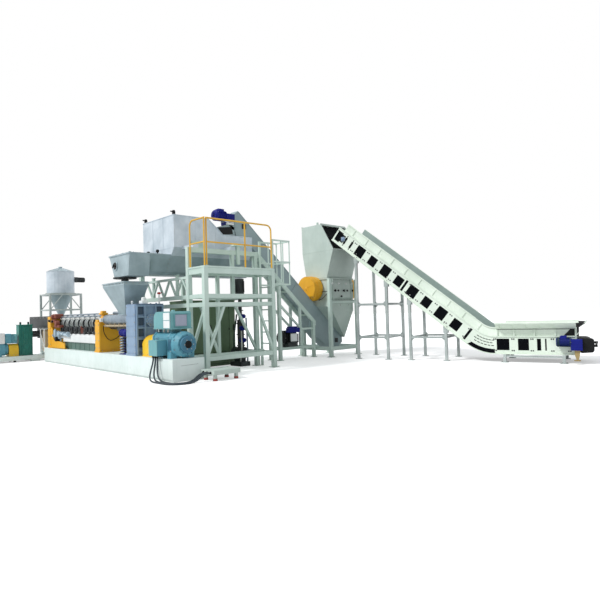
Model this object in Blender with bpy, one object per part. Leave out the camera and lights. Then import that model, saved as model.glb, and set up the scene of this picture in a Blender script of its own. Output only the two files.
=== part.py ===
"""Plastic pelletizing line: belt infeed, granulator, enclosed conveyor, bin and two extruders.

Metres. +X runs along the main extruder from its die to its motor, +Y across the
line towards the granulator, +Z up. The origin is the floor under the middle of
the main extruder base. The sizes below are drawn from that base's motor end
corner, on the side away from the granulator, and every piece is placed from it.
"""
import math

import bmesh
import bpy
from mathutils import Matrix, Vector

for old in list(bpy.data.objects):
    bpy.data.objects.remove(old, do_unlink=True)

GAP = 0.0003

# Main extruder
BASE_L = 8.55
BASE_W = 0.78
BASE_H = 0.48
GEARBOX_X = (-2.26, -1.72)
GEARBOX_Y = (0.02, 0.76)
GEARBOX_TOP = 1.70
MOTOR_X = (-1.15, -0.05)
MOTOR_R = 0.265
AXIS_Y = 0.39
MOTOR_Z = BASE_H + 0.30
BARREL_Z = 1.26
BARREL_END = -8.32
BARREL_R = 0.13
HEATER_R = 0.175
FEED_RIM_X = (-3.36, -2.09)
FEED_RIM_Y = (-0.09, 0.54)
FEED_THROAT_X = (-3.08, -2.72)
FEED_RIM_Z = 2.28
FEED_THROAT_Z = 1.47

# Bin and trough
BIN_X = (-3.25, -1.60)
BIN_Y = (1.00, 3.45)
BIN_TOP = 3.93
BIN_SLOPE_Y = (2.01, 2.47)
BIN_END_TOP = 3.54
BIN_CREASE = 3.12
TROUGH_CX = -2.34
TROUGH_HALF = 0.58
TROUGH_BOT_HALF = 0.31
TROUGH_Z = (2.45, 2.92)
TROUGH_Y = (-0.08, 3.62)
SHEET = 0.02
OUTLET_X = -2.56
OUTLET_Y = 0.15
OUTLET_R = 0.07
SPOUT_BOX_Y = 0.43
SPOUT_BOX_LOW = 2.40

# Platform
PLAT_X = (-1.15, -0.44)
PLAT_Y = (1.13, 3.17)
MID_POST_Y = 2.42
HANGER_Y = 1.95
DECK_TOP = 2.56
DECK_T = 0.045
POST = 0.11
RAIL_H = 1.13
RAIL_R = 0.021
FRAME_BACK_X = -3.65

# Enclosed conveyor
CASING_X = (-1.95, -1.63)
CASING_TOP_A = (3.01, 4.26)
CASING_TOP_B = (6.45, 1.16)
CASING_DEEP = 0.60
CHANNEL_DEEP = 0.13
BOOT_TOP = 0.55

# Granulator
GRAN_X = (-2.24, -1.08)
GRAN_Y = (6.00, 7.16)
GRAN_FRAME_Z = (0.20, 0.32)
CHAMBER_Z = (1.72, 2.45)
ROTOR_Z = 2.13

# Infeed conveyor, in its own frame: u along, v across from its centre line
YAW = math.radians(15.6)
CONV_V = 6.40
PLATE_V = 0.575
PLATE_T = 0.02
SLOPE = 0.806
LINE_U = 2.50
LINE_Z = 2.53
FLAT_Z = 0.43
HALF_DEEP = 0.23
HEAD_U = 1.00
TAIL_RUN = 2.144
WINDOWS = 8
WINDOW_PITCH = 0.383

CORNER = Vector((BASE_L / 2.0, -BASE_W / 2.0, 0.0))
CONV = Matrix.Rotation(YAW, 4, "Z") @ Matrix.Translation((0.0, CONV_V, 0.0))
COS_S = 1.0 / math.hypot(1.0, SLOPE)
SIN_S = SLOPE * COS_S


def material(name, rgb, metallic, roughness):
    mat = bpy.data.materials.new(name)
    mat.use_nodes = True
    bsdf = mat.node_tree.nodes["Principled BSDF"]
    bsdf.inputs["Base Color"].default_value = (rgb[0], rgb[1], rgb[2], 1.0)
    bsdf.inputs["Metallic"].default_value = metallic
    bsdf.inputs["Roughness"].default_value = roughness
    return mat


WHITE_GREEN = material("pale_green_paint", (0.78, 0.88, 0.82), 0.0, 0.45)
SAGE = material("sage_green_paint", (0.52, 0.66, 0.59), 0.0, 0.45)
STEEL = material("brushed_sheet_steel", (0.45, 0.50, 0.52), 0.8, 0.38)
GALV = material("galvanised_steel", (0.55, 0.60, 0.60), 0.7, 0.5)
YELLOW = material("safety_yellow_paint", (0.85, 0.48, 0.04), 0.0, 0.45)
ORANGE = material("orange_paint", (0.78, 0.40, 0.04), 0.0, 0.45)
BLUE_GREY = material("blue_grey_paint", (0.22, 0.30, 0.42), 0.0, 0.45)
TEAL = material("teal_motor_paint", (0.12, 0.33, 0.40), 0.0, 0.42)
DARK_TEAL = material("dark_teal_paint", (0.02, 0.20, 0.17), 0.0, 0.42)
BLUE = material("deep_blue_paint", (0.02, 0.04, 0.30), 0.0, 0.4)
OLIVE = material("olive_green_paint", (0.10, 0.16, 0.10), 0.0, 0.5)
RUBBER = material("black_rubber", (0.012, 0.012, 0.013), 0.0, 0.75)
CAST = material("dark_cast_iron", (0.06, 0.065, 0.07), 0.5, 0.55)
CABLE = material("cable_sheath", (0.05, 0.06, 0.07), 0.0, 0.6)


def box(bm, lo, hi):
    """Axis-aligned closed box added to bm."""
    mid = [(lo[i] + hi[i]) / 2.0 for i in range(3)]
    size = [abs(hi[i] - lo[i]) for i in range(3)]
    mat = Matrix.Translation(mid) @ Matrix.Diagonal((size[0], size[1], size[2], 1.0))
    return bmesh.ops.create_cube(bm, size=1.0, matrix=mat)["verts"]


def aim(p, q, up=Vector((0.0, 0.0, 1.0))):
    """Matrix whose Z runs from p to q and whose origin is p."""
    p = Vector(p)
    z = (Vector(q) - p).normalized()
    if abs(z.dot(up)) > 0.999:
        up = Vector((1.0, 0.0, 0.0))
    x = up.cross(z).normalized()
    y = z.cross(x)
    m = Matrix((x, y, z)).transposed().to_4x4()
    m.translation = p
    return m


def beam(bm, p, q, w, h, over=0.0):
    """Rectangular bar from p to q, w wide across and h deep, run over at both ends."""
    m = aim(p, q)
    length = (Vector(q) - Vector(p)).length + 2.0 * over
    loc = m @ Matrix.Translation((0.0, 0.0, length / 2.0 - over))
    bmesh.ops.create_cube(bm, size=1.0, matrix=loc @ Matrix.Diagonal((w, h, length, 1.0)))


def rod(bm, p, q, r, n=12, r2=None, over=0.0):
    """Closed cylinder or cone from p to q."""
    m = aim(p, q)
    length = (Vector(q) - Vector(p)).length + 2.0 * over
    loc = m @ Matrix.Translation((0.0, 0.0, length / 2.0 - over))
    bmesh.ops.create_cone(bm, cap_ends=True, segments=n, radius1=r,
                          radius2=r if r2 is None else r2, depth=length, matrix=loc)


def prism(bm, pts, a, b, plane):
    """Closed prism: outline pts in the named plane, from a to b on the third axis."""
    def put(p, c):
        if plane == "xz":
            return (p[0], c, p[1])
        if plane == "yz":
            return (c, p[0], p[1])
        return (p[0], p[1], c)
    low = [bm.verts.new(put(p, a)) for p in pts]
    high = [bm.verts.new(put(p, b)) for p in pts]
    n = len(pts)
    faces = [bm.faces.new(low), bm.faces.new(list(reversed(high)))]
    for i in range(n):
        j = (i + 1) % n
        faces.append(bm.faces.new((low[j], low[i], high[i], high[j])))
    bmesh.ops.recalc_face_normals(bm, faces=faces)
    return low + high


def frustum(bm, lo, hi):
    """Closed solid between two rectangles (x0, x1, y0, y1, z)."""
    def ring(r):
        return [bm.verts.new(c) for c in ((r[0], r[2], r[4]), (r[1], r[2], r[4]),
                                          (r[1], r[3], r[4]), (r[0], r[3], r[4]))]
    a = ring(lo)
    b = ring(hi)
    faces = [bm.faces.new(list(reversed(a))), bm.faces.new(b)]
    for i in range(4):
        j = (i + 1) % 4
        faces.append(bm.faces.new((a[i], a[j], b[j], b[i])))
    bmesh.ops.recalc_face_normals(bm, faces=faces)


def ring_prism(bm, outer, inner, a, b, plane):
    """Closed band between two outlines with the same number of points."""
    def put(p, c):
        if plane == "xz":
            return (p[0], c, p[1])
        if plane == "yz":
            return (c, p[0], p[1])
        return (p[0], p[1], c)
    n = len(outer)
    vo = [[bm.verts.new(put(p, c)) for p in outer] for c in (a, b)]
    vi = [[bm.verts.new(put(p, c)) for p in inner] for c in (a, b)]
    faces = []
    for i in range(n):
        j = (i + 1) % n
        faces.append(bm.faces.new((vo[0][i], vo[0][j], vo[1][j], vo[1][i])))
        faces.append(bm.faces.new((vi[0][j], vi[0][i], vi[1][i], vi[1][j])))
        faces.append(bm.faces.new((vo[0][j], vo[0][i], vi[0][i], vi[0][j])))
        faces.append(bm.faces.new((vo[1][i], vo[1][j], vi[1][j], vi[1][i])))
    bmesh.ops.recalc_face_normals(bm, faces=faces)


def tube_path(bm, pts, r, n=10):
    """Closed round bar swept through pts, mitred at each point."""
    rings = []
    count = len(pts)
    pts = [Vector(p) for p in pts]
    side = None
    for i, p in enumerate(pts):
        if i == 0:
            t = (pts[1] - p).normalized()
        elif i == count - 1:
            t = (p - pts[i - 1]).normalized()
        else:
            t = ((p - pts[i - 1]).normalized() + (pts[i + 1] - p).normalized()).normalized()
        if side is None:
            base = Vector((0.0, 0.0, 1.0)) if abs(t.z) < 0.9 else Vector((1.0, 0.0, 0.0))
            side = base.cross(t).normalized()
        side = (side - t * side.dot(t)).normalized()
        up = t.cross(side)
        grow = 1.0
        if 0 < i < count - 1:
            c = (p - pts[i - 1]).normalized().dot(t)
            grow = 1.0 / max(c, 0.5)
        bend = up
        if 0 < i < count - 1:
            d = (pts[i + 1] - p).normalized() - (p - pts[i - 1]).normalized()
            if d.length > 1e-6:
                bend = d.normalized()
            else:
                grow = 1.0
        ring = []
        for k in range(n):
            ang = 2.0 * math.pi * k / n
            o = side * (math.cos(ang) * r) + up * (math.sin(ang) * r)
            o = o + bend * (o.dot(bend) * (grow - 1.0))
            ring.append(bm.verts.new(p + o))
        rings.append(ring)
    faces = [bm.faces.new(list(reversed(rings[0]))), bm.faces.new(rings[-1])]
    for a, b in zip(rings[:-1], rings[1:]):
        for k in range(n):
            j = (k + 1) % n
            faces.append(bm.faces.new((a[k], a[j], b[j], b[k])))
    bmesh.ops.recalc_face_normals(bm, faces=faces)


def arc(cx, cz, r, a0, a1, n):
    """Points on an arc, angles in degrees."""
    out = []
    for i in range(n + 1):
        a = math.radians(a0 + (a1 - a0) * i / n)
        out.append((cx + r * math.cos(a), cz + r * math.sin(a)))
    return out


def mesh_object(name, bm):
    mesh = bpy.data.meshes.new(name)
    bm.to_mesh(mesh)
    bm.free()
    ob = bpy.data.objects.new(name, mesh)
    bpy.context.scene.collection.objects.link(ob)
    return ob


def node(name, mat, solids, cuts=None, smooth=None, frame=None):
    """One named closed body: the union of solids less the cuts.

    solids and cuts are functions that add closed shapes to a bmesh."""
    bm = bmesh.new()
    solids(bm)
    ob = mesh_object(name, bm)
    tools = []
    mod = ob.modifiers.new("weld", "BOOLEAN")
    seed = bmesh.new()
    box(seed, (500.0, 500.0, 500.0), (500.1, 500.1, 500.1))
    far = mesh_object(name + "_seed", seed)
    tools.append(far)
    mod.operation = "DIFFERENCE"
    mod.solver = "EXACT"
    mod.use_self = True
    mod.object = far
    if cuts is not None:
        cb = bmesh.new()
        cuts(cb)
        tool = mesh_object(name + "_cut", cb)
        tools.append(tool)
        m2 = ob.modifiers.new("cut", "BOOLEAN")
        m2.operation = "DIFFERENCE"
        m2.solver = "EXACT"
        m2.use_self = True
        m2.object = tool
    bpy.context.view_layer.update()
    deps = bpy.context.evaluated_depsgraph_get()
    done = bpy.data.meshes.new_from_object(ob.evaluated_get(deps))
    done.name = name + "_mesh"
    ob.modifiers.clear()
    ob.data = done
    for tool in tools:
        bpy.data.objects.remove(tool, do_unlink=True)
    tidy = bmesh.new()
    tidy.from_mesh(done)
    bmesh.ops.remove_doubles(tidy, verts=tidy.verts, dist=0.00005)
    bmesh.ops.dissolve_limit(tidy, angle_limit=math.radians(0.05), verts=tidy.verts,
                             edges=tidy.edges)
    if frame is not None:
        bmesh.ops.transform(tidy, matrix=frame, verts=tidy.verts)
    tidy.to_mesh(done)
    tidy.free()
    ob.location = CORNER
    done.materials.clear()
    done.materials.append(mat)
    if smooth is not None:
        for poly in done.polygons:
            poly.use_smooth = True
        done.set_sharp_from_angle(angle=math.radians(smooth))
    return ob


# Main extruder
def extruder_base(bm):
    box(bm, (-BASE_L, 0.0, 0.0), (0.0, BASE_W, BASE_H))


def extruder_base_cuts(bm):
    # shallow recess along the foot so that the base stands on a plinth
    box(bm, (-BASE_L - 1.0, -0.5, -0.01), (1.0, 0.02, 0.035))
    box(bm, (-BASE_L - 1.0, BASE_W - 0.02, -0.01), (1.0, BASE_W + 0.5, 0.035))


node("extruder_base", WHITE_GREEN, extruder_base, extruder_base_cuts)


def gearbox(bm):
    x0, x1 = GEARBOX_X
    y0, y1 = GEARBOX_Y
    z0 = BASE_H + GAP
    # front plate, and behind it the housing with the end face that carries the covers
    box(bm, (x0, y0, z0), (x1 - 0.05, y1, GEARBOX_TOP))
    box(bm, (x0 - 0.01, y0 - 0.02, z0), (x1 - 0.02, y1 + 0.015, z0 + 0.05))
    rib = 0.035
    for y in (y0 + 0.02, y0 + 0.22, y1 - 0.24, y1 - 0.02 - rib):
        box(bm, (x1 - 0.08, y, z0 + 0.02), (x1, y + rib, GEARBOX_TOP - 0.01))
    for k in range(5):
        z = z0 + 0.12 + k * (GEARBOX_TOP - z0 - 0.17) / 4.0
        box(bm, (x1 - 0.07, y0 + 0.03, z), (x1 - 0.005, y1 - 0.03, z + rib))
    c = (y0 + y1) / 2.0 + 0.03
    rod(bm, (x1 - 0.1, c, BARREL_Z + 0.06), (x1 + 0.012, c, BARREL_Z + 0.06), 0.15, 18)
    rod(bm, (x1 - 0.1, AXIS_Y, MOTOR_Z), (x1 + 0.012, AXIS_Y, MOTOR_Z), 0.13, 16)


node("gearbox", BLUE_GREY, gearbox, smooth=30)


def coupling_guard(bm):
    x0 = GEARBOX_X[1] + 0.015 + GAP
    x1 = MOTOR_X[0] - 0.012
    z0 = BASE_H + GAP
    r = 0.25
    prof = [(AXIS_Y - r, z0)] + [(AXIS_Y + p[0], p[1]) for p in arc(0.0, MOTOR_Z - 0.06, r, 180, 0, 16)]
    prof += [(AXIS_Y + r, z0)]
    prism(bm, prof, x0 + 0.05 + GAP, x1, "yz")


node("coupling_guard", YELLOW, coupling_guard, smooth=30)


def octagon(cy, cz, half, cut):
    """Square outline in Y and Z with its corners cut off."""
    a, b = half, half - cut
    return [(cy - a, cz - b), (cy - b, cz - a), (cy + b, cz - a), (cy + a, cz - b),
            (cy + a, cz + b), (cy + b, cz + a), (cy - b, cz + a), (cy - a, cz + b)]


TERMINAL_X = (-0.84, -0.47)
TERMINAL_Y = (-0.10, 0.16)
TERMINAL_Z = (0.545, 0.875)


def main_motor(bm):
    x0, x1 = MOTOR_X
    half = MOTOR_R - 0.02
    prism(bm, octagon(AXIS_Y, MOTOR_Z, half, 0.07), x0 + 0.06, x1 - 0.15, "yz")
    prism(bm, octagon(AXIS_Y, MOTOR_Z, half + 0.02, 0.09), x0 + 0.03, x0 + 0.08, "yz")
    prism(bm, octagon(AXIS_Y, MOTOR_Z, half + 0.02, 0.09), x1 - 0.40, x1 - 0.36, "yz")
    rod(bm, (x0, AXIS_Y, MOTOR_Z), (x0 + 0.05, AXIS_Y, MOTOR_Z), 0.17, 14)
    # bell-shaped end shield with its round cover
    rod(bm, (x1 - 0.20, AXIS_Y, MOTOR_Z), (x1 - 0.10, AXIS_Y, MOTOR_Z), MOTOR_R + 0.02, 24)
    rod(bm, (x1 - 0.10, AXIS_Y, MOTOR_Z), (x1, AXIS_Y, MOTOR_Z), MOTOR_R + 0.02, 24, r2=MOTOR_R - 0.04)
    rod(bm, (x1 - 0.02, AXIS_Y, MOTOR_Z), (x1 + 0.03, AXIS_Y, MOTOR_Z), 0.13, 18)
    for s in (-1.0, 1.0):
        for x in (x0 + 0.10, x1 - 0.36):
            a = AXIS_Y + s * 0.14
            b = AXIS_Y + s * 0.29
            box(bm, (x, min(a, b), BASE_H + GAP), (x + 0.16, max(a, b), MOTOR_Z - 0.15))
    # flat top that the blower stands on, and the terminal box on the side
    box(bm, (x0 + 0.22, AXIS_Y - 0.11, MOTOR_Z), (x1 - 0.42, AXIS_Y + 0.11, MOTOR_Z + MOTOR_R + 0.02))
    box(bm, (TERMINAL_X[0], TERMINAL_Y[0], TERMINAL_Z[0]), (TERMINAL_X[1], TERMINAL_Y[1], TERMINAL_Z[1]))
    box(bm, (TERMINAL_X[0] + 0.04, TERMINAL_Y[1] - 0.02, TERMINAL_Z[0] + 0.05),
        (TERMINAL_X[1] - 0.04, AXIS_Y - half + 0.05, TERMINAL_Z[1] - 0.04))


def main_motor_cuts(bm):
    x1 = MOTOR_X[1]
    rod(bm, (x1 - 0.02, AXIS_Y, MOTOR_Z), (x1 + 0.05, AXIS_Y, MOTOR_Z), 0.085, 18)


node("main_motor", TEAL, main_motor, main_motor_cuts, smooth=30)


def motor_blower(bm):
    x0, x1 = MOTOR_X
    z0 = MOTOR_Z + MOTOR_R + 0.02 + GAP
    y0, y1 = AXIS_Y - 0.27, AXIS_Y + 0.23
    prof = [(x0 + 0.12, z0 + 0.05), (x0 + 0.12, z0 + 0.28)]
    prof += arc(x0 + 0.28, z0 + 0.28, 0.16, 180, 90, 6)[1:]
    prof += [(x1 - 0.24, z0 + 0.44), (x1 - 0.20, z0 + 0.40), (x1 - 0.20, z0 + 0.05)]
    prism(bm, prof, y0, y1, "xz")
    box(bm, (x0 + 0.2, AXIS_Y - 0.12, z0), (x1 - 0.45, AXIS_Y + 0.12, z0 + 0.08))
    box(bm, (x0 + 0.10, y0 - 0.01, z0 + 0.05), (x1 - 0.18, y1 + 0.01, z0 + 0.075))


node("motor_blower", TEAL, motor_blower, smooth=30)


BANDS_FROM = -4.45
BAND_PITCH = 0.40
BAND_LONG = 0.30


def barrel(bm):
    x0 = GEARBOX_X[0] - 0.011 - GAP
    rod(bm, (BARREL_END, AXIS_Y, BARREL_Z), (x0, AXIS_Y, BARREL_Z), BARREL_R, 14)
    rod(bm, (x0 - 0.06, AXIS_Y, BARREL_Z), (x0, AXIS_Y, BARREL_Z), 0.22, 14)
    # feed throat block with its machined top
    mid = (FEED_THROAT_X[0] + FEED_THROAT_X[1]) / 2.0
    box(bm, (mid - 0.27, AXIS_Y - 0.2, BARREL_Z - 0.2), (mid + 0.27, AXIS_Y + 0.2, FEED_THROAT_Z - GAP))
    # lagged length between the feed throat and the support
    rod(bm, (-3.86, AXIS_Y, BARREL_Z), (mid - 0.2, AXIS_Y, BARREL_Z), HEATER_R, 14)
    # heater bands
    x = BANDS_FROM
    while x - BAND_LONG > BARREL_END + 0.5:
        rod(bm, (x - BAND_LONG, AXIS_Y, BARREL_Z), (x, AXIS_Y, BARREL_Z), HEATER_R, 14)
        x -= BAND_PITCH
    rod(bm, (BARREL_END, AXIS_Y, BARREL_Z), (BARREL_END + 0.09, AXIS_Y, BARREL_Z), 0.21, 16)


node("barrel", CAST, barrel, smooth=30)


def barrel_ducts(bm):
    # long cooling duct beside the base's middle, on feet, with an air outlet under each band
    x0, x1 = -7.05, -4.35
    z0 = BASE_H + GAP
    z1 = 0.70
    prism(bm, [(AXIS_Y - 0.27, z1), (AXIS_Y - 0.27, 0.88), (AXIS_Y - 0.20, 0.95), (AXIS_Y + 0.20, 0.95),
               (AXIS_Y + 0.27, 0.88), (AXIS_Y + 0.27, z1)], x0, x1, "yz")
    for i in range(4):
        x = x0 + 0.30 + i * 0.70
        box(bm, (x - 0.05, AXIS_Y - 0.12, z0), (x + 0.05, AXIS_Y + 0.12, z1 + 0.02))
        frustum(bm, (x - 0.09, x + 0.09, AXIS_Y - 0.12, AXIS_Y + 0.12, 0.94),
                (x - 0.07, x + 0.07, AXIS_Y - 0.09, AXIS_Y + 0.09, BARREL_Z - HEATER_R - GAP))


node("cooling_duct", WHITE_GREEN, barrel_ducts)


SUPPORT_Y = (0.03, 0.75)
MID_SUPPORT_X = (-4.25, -3.95)
FRONT_SUPPORT_X = (BARREL_END + 0.095, BARREL_END + 0.375)


def support_hole(bm, xs):
    rod(bm, (xs[0] - 0.2, AXIS_Y, BARREL_Z), (xs[1] + 0.2, AXIS_Y, BARREL_Z), BARREL_R + GAP, 14)


def mid_support(bm):
    """Pillar of two flanged plates with a saddle that holds the barrel."""
    x0, x1 = MID_SUPPORT_X
    y0, y1 = SUPPORT_Y
    z0 = BASE_H + GAP
    box(bm, (x0 + 0.05, y0 + 0.03, z0), (x1 - 0.02, y1 - 0.03, 1.30))
    box(bm, (x0, y0, z0), (x1, y0 + 0.05, 1.30))
    box(bm, (x0, y1 - 0.05, z0), (x1, y1, 1.30))
    box(bm, (x0 - 0.02, y0 - 0.02, z0), (x1 + 0.02, y1 + 0.02, z0 + 0.035))
    prism(bm, [(AXIS_Y - 0.27, 1.28), (AXIS_Y + 0.27, 1.28), (AXIS_Y + 0.20, 1.50), (AXIS_Y - 0.20, 1.50)],
          x0 + 0.06, x1 - 0.06, "yz")


node("mid_support", ORANGE, mid_support, lambda bm: support_hole(bm, MID_SUPPORT_X), smooth=30)


def front_support(bm):
    """C-shaped plate under the die end, open towards the machine's far side."""
    x0, x1 = FRONT_SUPPORT_X
    y0, y1 = SUPPORT_Y
    z0 = BASE_H + GAP
    prof = [(y0, z0), (y1, z0), (y1, 0.76), (y1 - 0.22, 0.76), (y0 + 0.26, 0.80), (y0 + 0.17, 0.92),
            (y0 + 0.17, 1.02), (AXIS_Y + 0.24, 1.02), (AXIS_Y + 0.24, 1.50), (y0, 1.50)]
    prism(bm, prof, x0 + 0.02, x1 - 0.02, "yz")
    box(bm, (x0, y0 - 0.01, z0), (x1, y0 + 0.04, 1.50))
    box(bm, (x0 - 0.02, y0 - 0.02, z0), (x1 + 0.02, y1 + 0.02, z0 + 0.035))
    box(bm, (x0, y0 + 0.05, z0 + 0.02), (x1 + 0.0, y1 - 0.01, z0 + 0.07))


node("front_support", ORANGE, front_support, lambda bm: support_hole(bm, FRONT_SUPPORT_X), smooth=30)


def feed_hopper_form(bm, t, low, high):
    """Rim band over a tapering body, shrunk by the sheet t all round."""
    (ra, rb), (rc, rd) = FEED_RIM_X, FEED_RIM_Y
    (ta, tb), (tc, td) = FEED_THROAT_X, (AXIS_Y - 0.17, AXIS_Y + 0.15)
    zr = FEED_RIM_Z - 0.09
    frustum(bm, (ta + t, tb - t, tc + t, td - t, low),
            (ta + t, tb - t, tc + t, td - t, FEED_THROAT_Z + 0.032))
    frustum(bm, (ta + t, tb - t, tc + t, td - t, FEED_THROAT_Z + 0.03),
            (ra + t, rb - t, rc + t, rd - t, zr))
    box(bm, (ra + t, rc + t, zr - 0.001), (rb - t, rd - t, high))


def feed_hopper(bm):
    feed_hopper_form(bm, 0.0, FEED_THROAT_Z, FEED_RIM_Z)
    (ra, rb), (rc, rd) = FEED_RIM_X, FEED_RIM_Y
    box(bm, (ra - 0.02, rc - 0.02, FEED_RIM_Z - 0.03), (rb + 0.02, rd + 0.02, FEED_RIM_Z - 0.01))
    box(bm, (FEED_THROAT_X[0] - 0.04, AXIS_Y - 0.2, FEED_THROAT_Z),
        (FEED_THROAT_X[1] + 0.04, AXIS_Y + 0.18, FEED_THROAT_Z + 0.03))


def feed_hopper_cuts(bm):
    feed_hopper_form(bm, SHEET, FEED_THROAT_Z - 0.1, FEED_RIM_Z + 0.1)


node("feed_hopper", STEEL, feed_hopper, feed_hopper_cuts)


# Bin and screw trough
def casing_top(y):
    """Height of the conveyor casing's upper edge at y."""
    (ya, za), (yb, zb) = CASING_TOP_A, CASING_TOP_B
    return za + (zb - za) * (y - ya) / (yb - ya)


def casing_low(y):
    """Height of the underside of the sloping casing at y."""
    return casing_top(y) - CASING_DEEP


def bin_shell(bm):
    x0, x1 = BIN_X
    y0, y1 = BIN_Y
    prof = [(y0, BIN_CREASE), (y1, BIN_CREASE), (y1, BIN_END_TOP), (BIN_SLOPE_Y[1], BIN_END_TOP),
            (BIN_SLOPE_Y[0], BIN_TOP), (y0, BIN_TOP)]
    prism(bm, prof, x0, x1, "yz")
    z0 = TROUGH_Z[1] + GAP
    frustum(bm, (TROUGH_CX - TROUGH_HALF, TROUGH_CX + TROUGH_HALF, y0, y1, z0),
            (x0, x1, y0, y1, BIN_CREASE + 0.001))
    # feet that rest on the carrier beams of the platform frame
    for y in (PLAT_Y[0] + 0.1, MID_POST_Y - 0.08):
        box(bm, (FRAME_BACK_X - 0.05, y, BIN_CREASE - 0.05), (x0 + 0.1, y + 0.16, BIN_CREASE + 0.03))
        box(bm, (x1 - 0.1, y, BIN_CREASE - 0.05), (PLAT_X[0] + 0.05, y + 0.16, BIN_CREASE + 0.03))
    for x in (x0 + 0.04, x1 - 0.1):
        box(bm, (x, y0 + 0.02, BIN_TOP - 0.02), (x + 0.06, y0 + 0.08, BIN_TOP + 0.09))


def bin_cuts(bm):
    t = SHEET
    x0, x1 = BIN_X
    y0, y1 = BIN_Y
    prof = [(y0 + t, BIN_CREASE), (y1 - t, BIN_CREASE), (y1 - t, BIN_TOP + 0.5), (y0 + t, BIN_TOP + 0.5)]
    prism(bm, prof, x0 + t, x1 - t, "yz")
    z0 = TROUGH_Z[1] - 0.1
    half = TROUGH_HALF - t
    frustum(bm, (TROUGH_CX - half, TROUGH_CX + half, y0 + t, y1 - t, z0),
            (TROUGH_CX - half, TROUGH_CX + half, y0 + t, y1 - t, TROUGH_Z[1] + 0.002))
    frustum(bm, (TROUGH_CX - half, TROUGH_CX + half, y0 + t, y1 - t, TROUGH_Z[1] + 0.001),
            (x0 + t, x1 - t, y0 + t, y1 - t, BIN_CREASE + 0.001))


def bin_notch(bm):
    """Shell inside, and the notch in the end wall that the conveyor casing passes through."""
    bin_cuts(bm)
    y = BIN_Y[1]
    box(bm, (CASING_X[0] - 0.01, y - 0.1, casing_low(y) - 0.08), (BIN_X[1] - SHEET, y + 0.1, BIN_TOP))


node("bin", STEEL, bin_shell, bin_notch)


def trough_profile(grow):
    z0, z1 = TROUGH_Z
    return [(TROUGH_CX - TROUGH_HALF - grow, z1 + min(grow, 0.0)), (TROUGH_CX - TROUGH_BOT_HALF - grow * 0.7, z0 + 0.08 - grow),
            (TROUGH_CX - TROUGH_BOT_HALF + 0.1, z0 - grow), (TROUGH_CX + TROUGH_BOT_HALF - 0.1, z0 - grow),
            (TROUGH_CX + TROUGH_BOT_HALF + grow * 0.7, z0 + 0.08 - grow), (TROUGH_CX + TROUGH_HALF + grow, z1 + min(grow, 0.0))]


def spout_box_profile(t):
    """Front end of the trough: its far side slopes, its near side is almost upright."""
    z0 = SPOUT_BOX_LOW + t
    return [(TROUGH_CX - TROUGH_HALF + t, TROUGH_Z[1]), (TROUGH_CX - TROUGH_BOT_HALF + t, z0),
            (TROUGH_CX + 0.50 - t, z0), (TROUGH_CX + TROUGH_HALF - t, TROUGH_Z[1])]


def trough(bm):
    prism(bm, trough_profile(0.0), TROUGH_Y[0] + 0.1, TROUGH_Y[1], "xz")
    prism(bm, spout_box_profile(0.0), TROUGH_Y[0], SPOUT_BOX_Y, "xz")


def trough_cuts(bm):
    t = SHEET
    # open under the lid and under the bin, closed behind it
    prof = trough_profile(-t)
    prism(bm, prof, BIN_Y[1] - 0.1, TROUGH_Y[1] - t, "xz")
    prof[0] = (prof[0][0], TROUGH_Z[1] + 0.1)
    prof[-1] = (prof[-1][0], TROUGH_Z[1] + 0.1)
    prism(bm, prof, SPOUT_BOX_Y - t - 0.01, BIN_Y[1] - t, "xz")
    prof = spout_box_profile(t)
    prof[0] = (prof[0][0], TROUGH_Z[1] + 0.1)
    prof[-1] = (prof[-1][0], TROUGH_Z[1] + 0.1)
    prism(bm, prof, TROUGH_Y[0] + t, SPOUT_BOX_Y - t, "xz")
    # outlet over the extruder hopper
    rod(bm, (OUTLET_X, OUTLET_Y, SPOUT_BOX_LOW - 0.2), (OUTLET_X, OUTLET_Y, SPOUT_BOX_LOW + 0.1), OUTLET_R, 16)


node("screw_trough", STEEL, trough, trough_cuts)


def trough_lid(bm):
    z0 = TROUGH_Z[1] + GAP
    y1 = BIN_Y[0] - GAP
    box(bm, (TROUGH_CX - TROUGH_HALF - 0.01, TROUGH_Y[0] - 0.02, z0),
        (TROUGH_CX + TROUGH_HALF + 0.01, y1, z0 + 0.03))
    box(bm, (TROUGH_CX - 0.2, TROUGH_Y[0] + 0.2, z0 + 0.02), (TROUGH_CX + 0.2, TROUGH_Y[0] + 0.6, z0 + 0.07))


node("trough_lid", STEEL, trough_lid)


def outlet_spout(bm):
    z1 = SPOUT_BOX_LOW - GAP
    rod(bm, (OUTLET_X, OUTLET_Y, FEED_RIM_Z - 0.06), (OUTLET_X, OUTLET_Y, z1), OUTLET_R + 0.02, 16)
    rod(bm, (OUTLET_X, OUTLET_Y, z1 - 0.032), (OUTLET_X, OUTLET_Y, z1), 0.28, 28)


node("outlet_spout", CAST, outlet_spout,
     lambda bm: rod(bm, (OUTLET_X, OUTLET_Y, FEED_RIM_Z - 0.5), (OUTLET_X, OUTLET_Y, SPOUT_BOX_LOW + 0.2),
                    OUTLET_R, 16), smooth=30)


def trough_drive(bm):
    y0 = TROUGH_Y[1] + GAP
    z = TROUGH_Z[0] + 0.22
    rod(bm, (TROUGH_CX, y0, z), (TROUGH_CX, y0 + 0.06, z), 0.19, 18)
    box(bm, (TROUGH_CX - 0.14, y0 + 0.03, z - 0.17), (TROUGH_CX + 0.14, y0 + 0.26, z + 0.17))
    rod(bm, (TROUGH_CX, y0 + 0.2, z), (TROUGH_CX, y0 + 0.6, z), 0.13, 14)


node("trough_drive", CAST, trough_drive, smooth=30)


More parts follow.
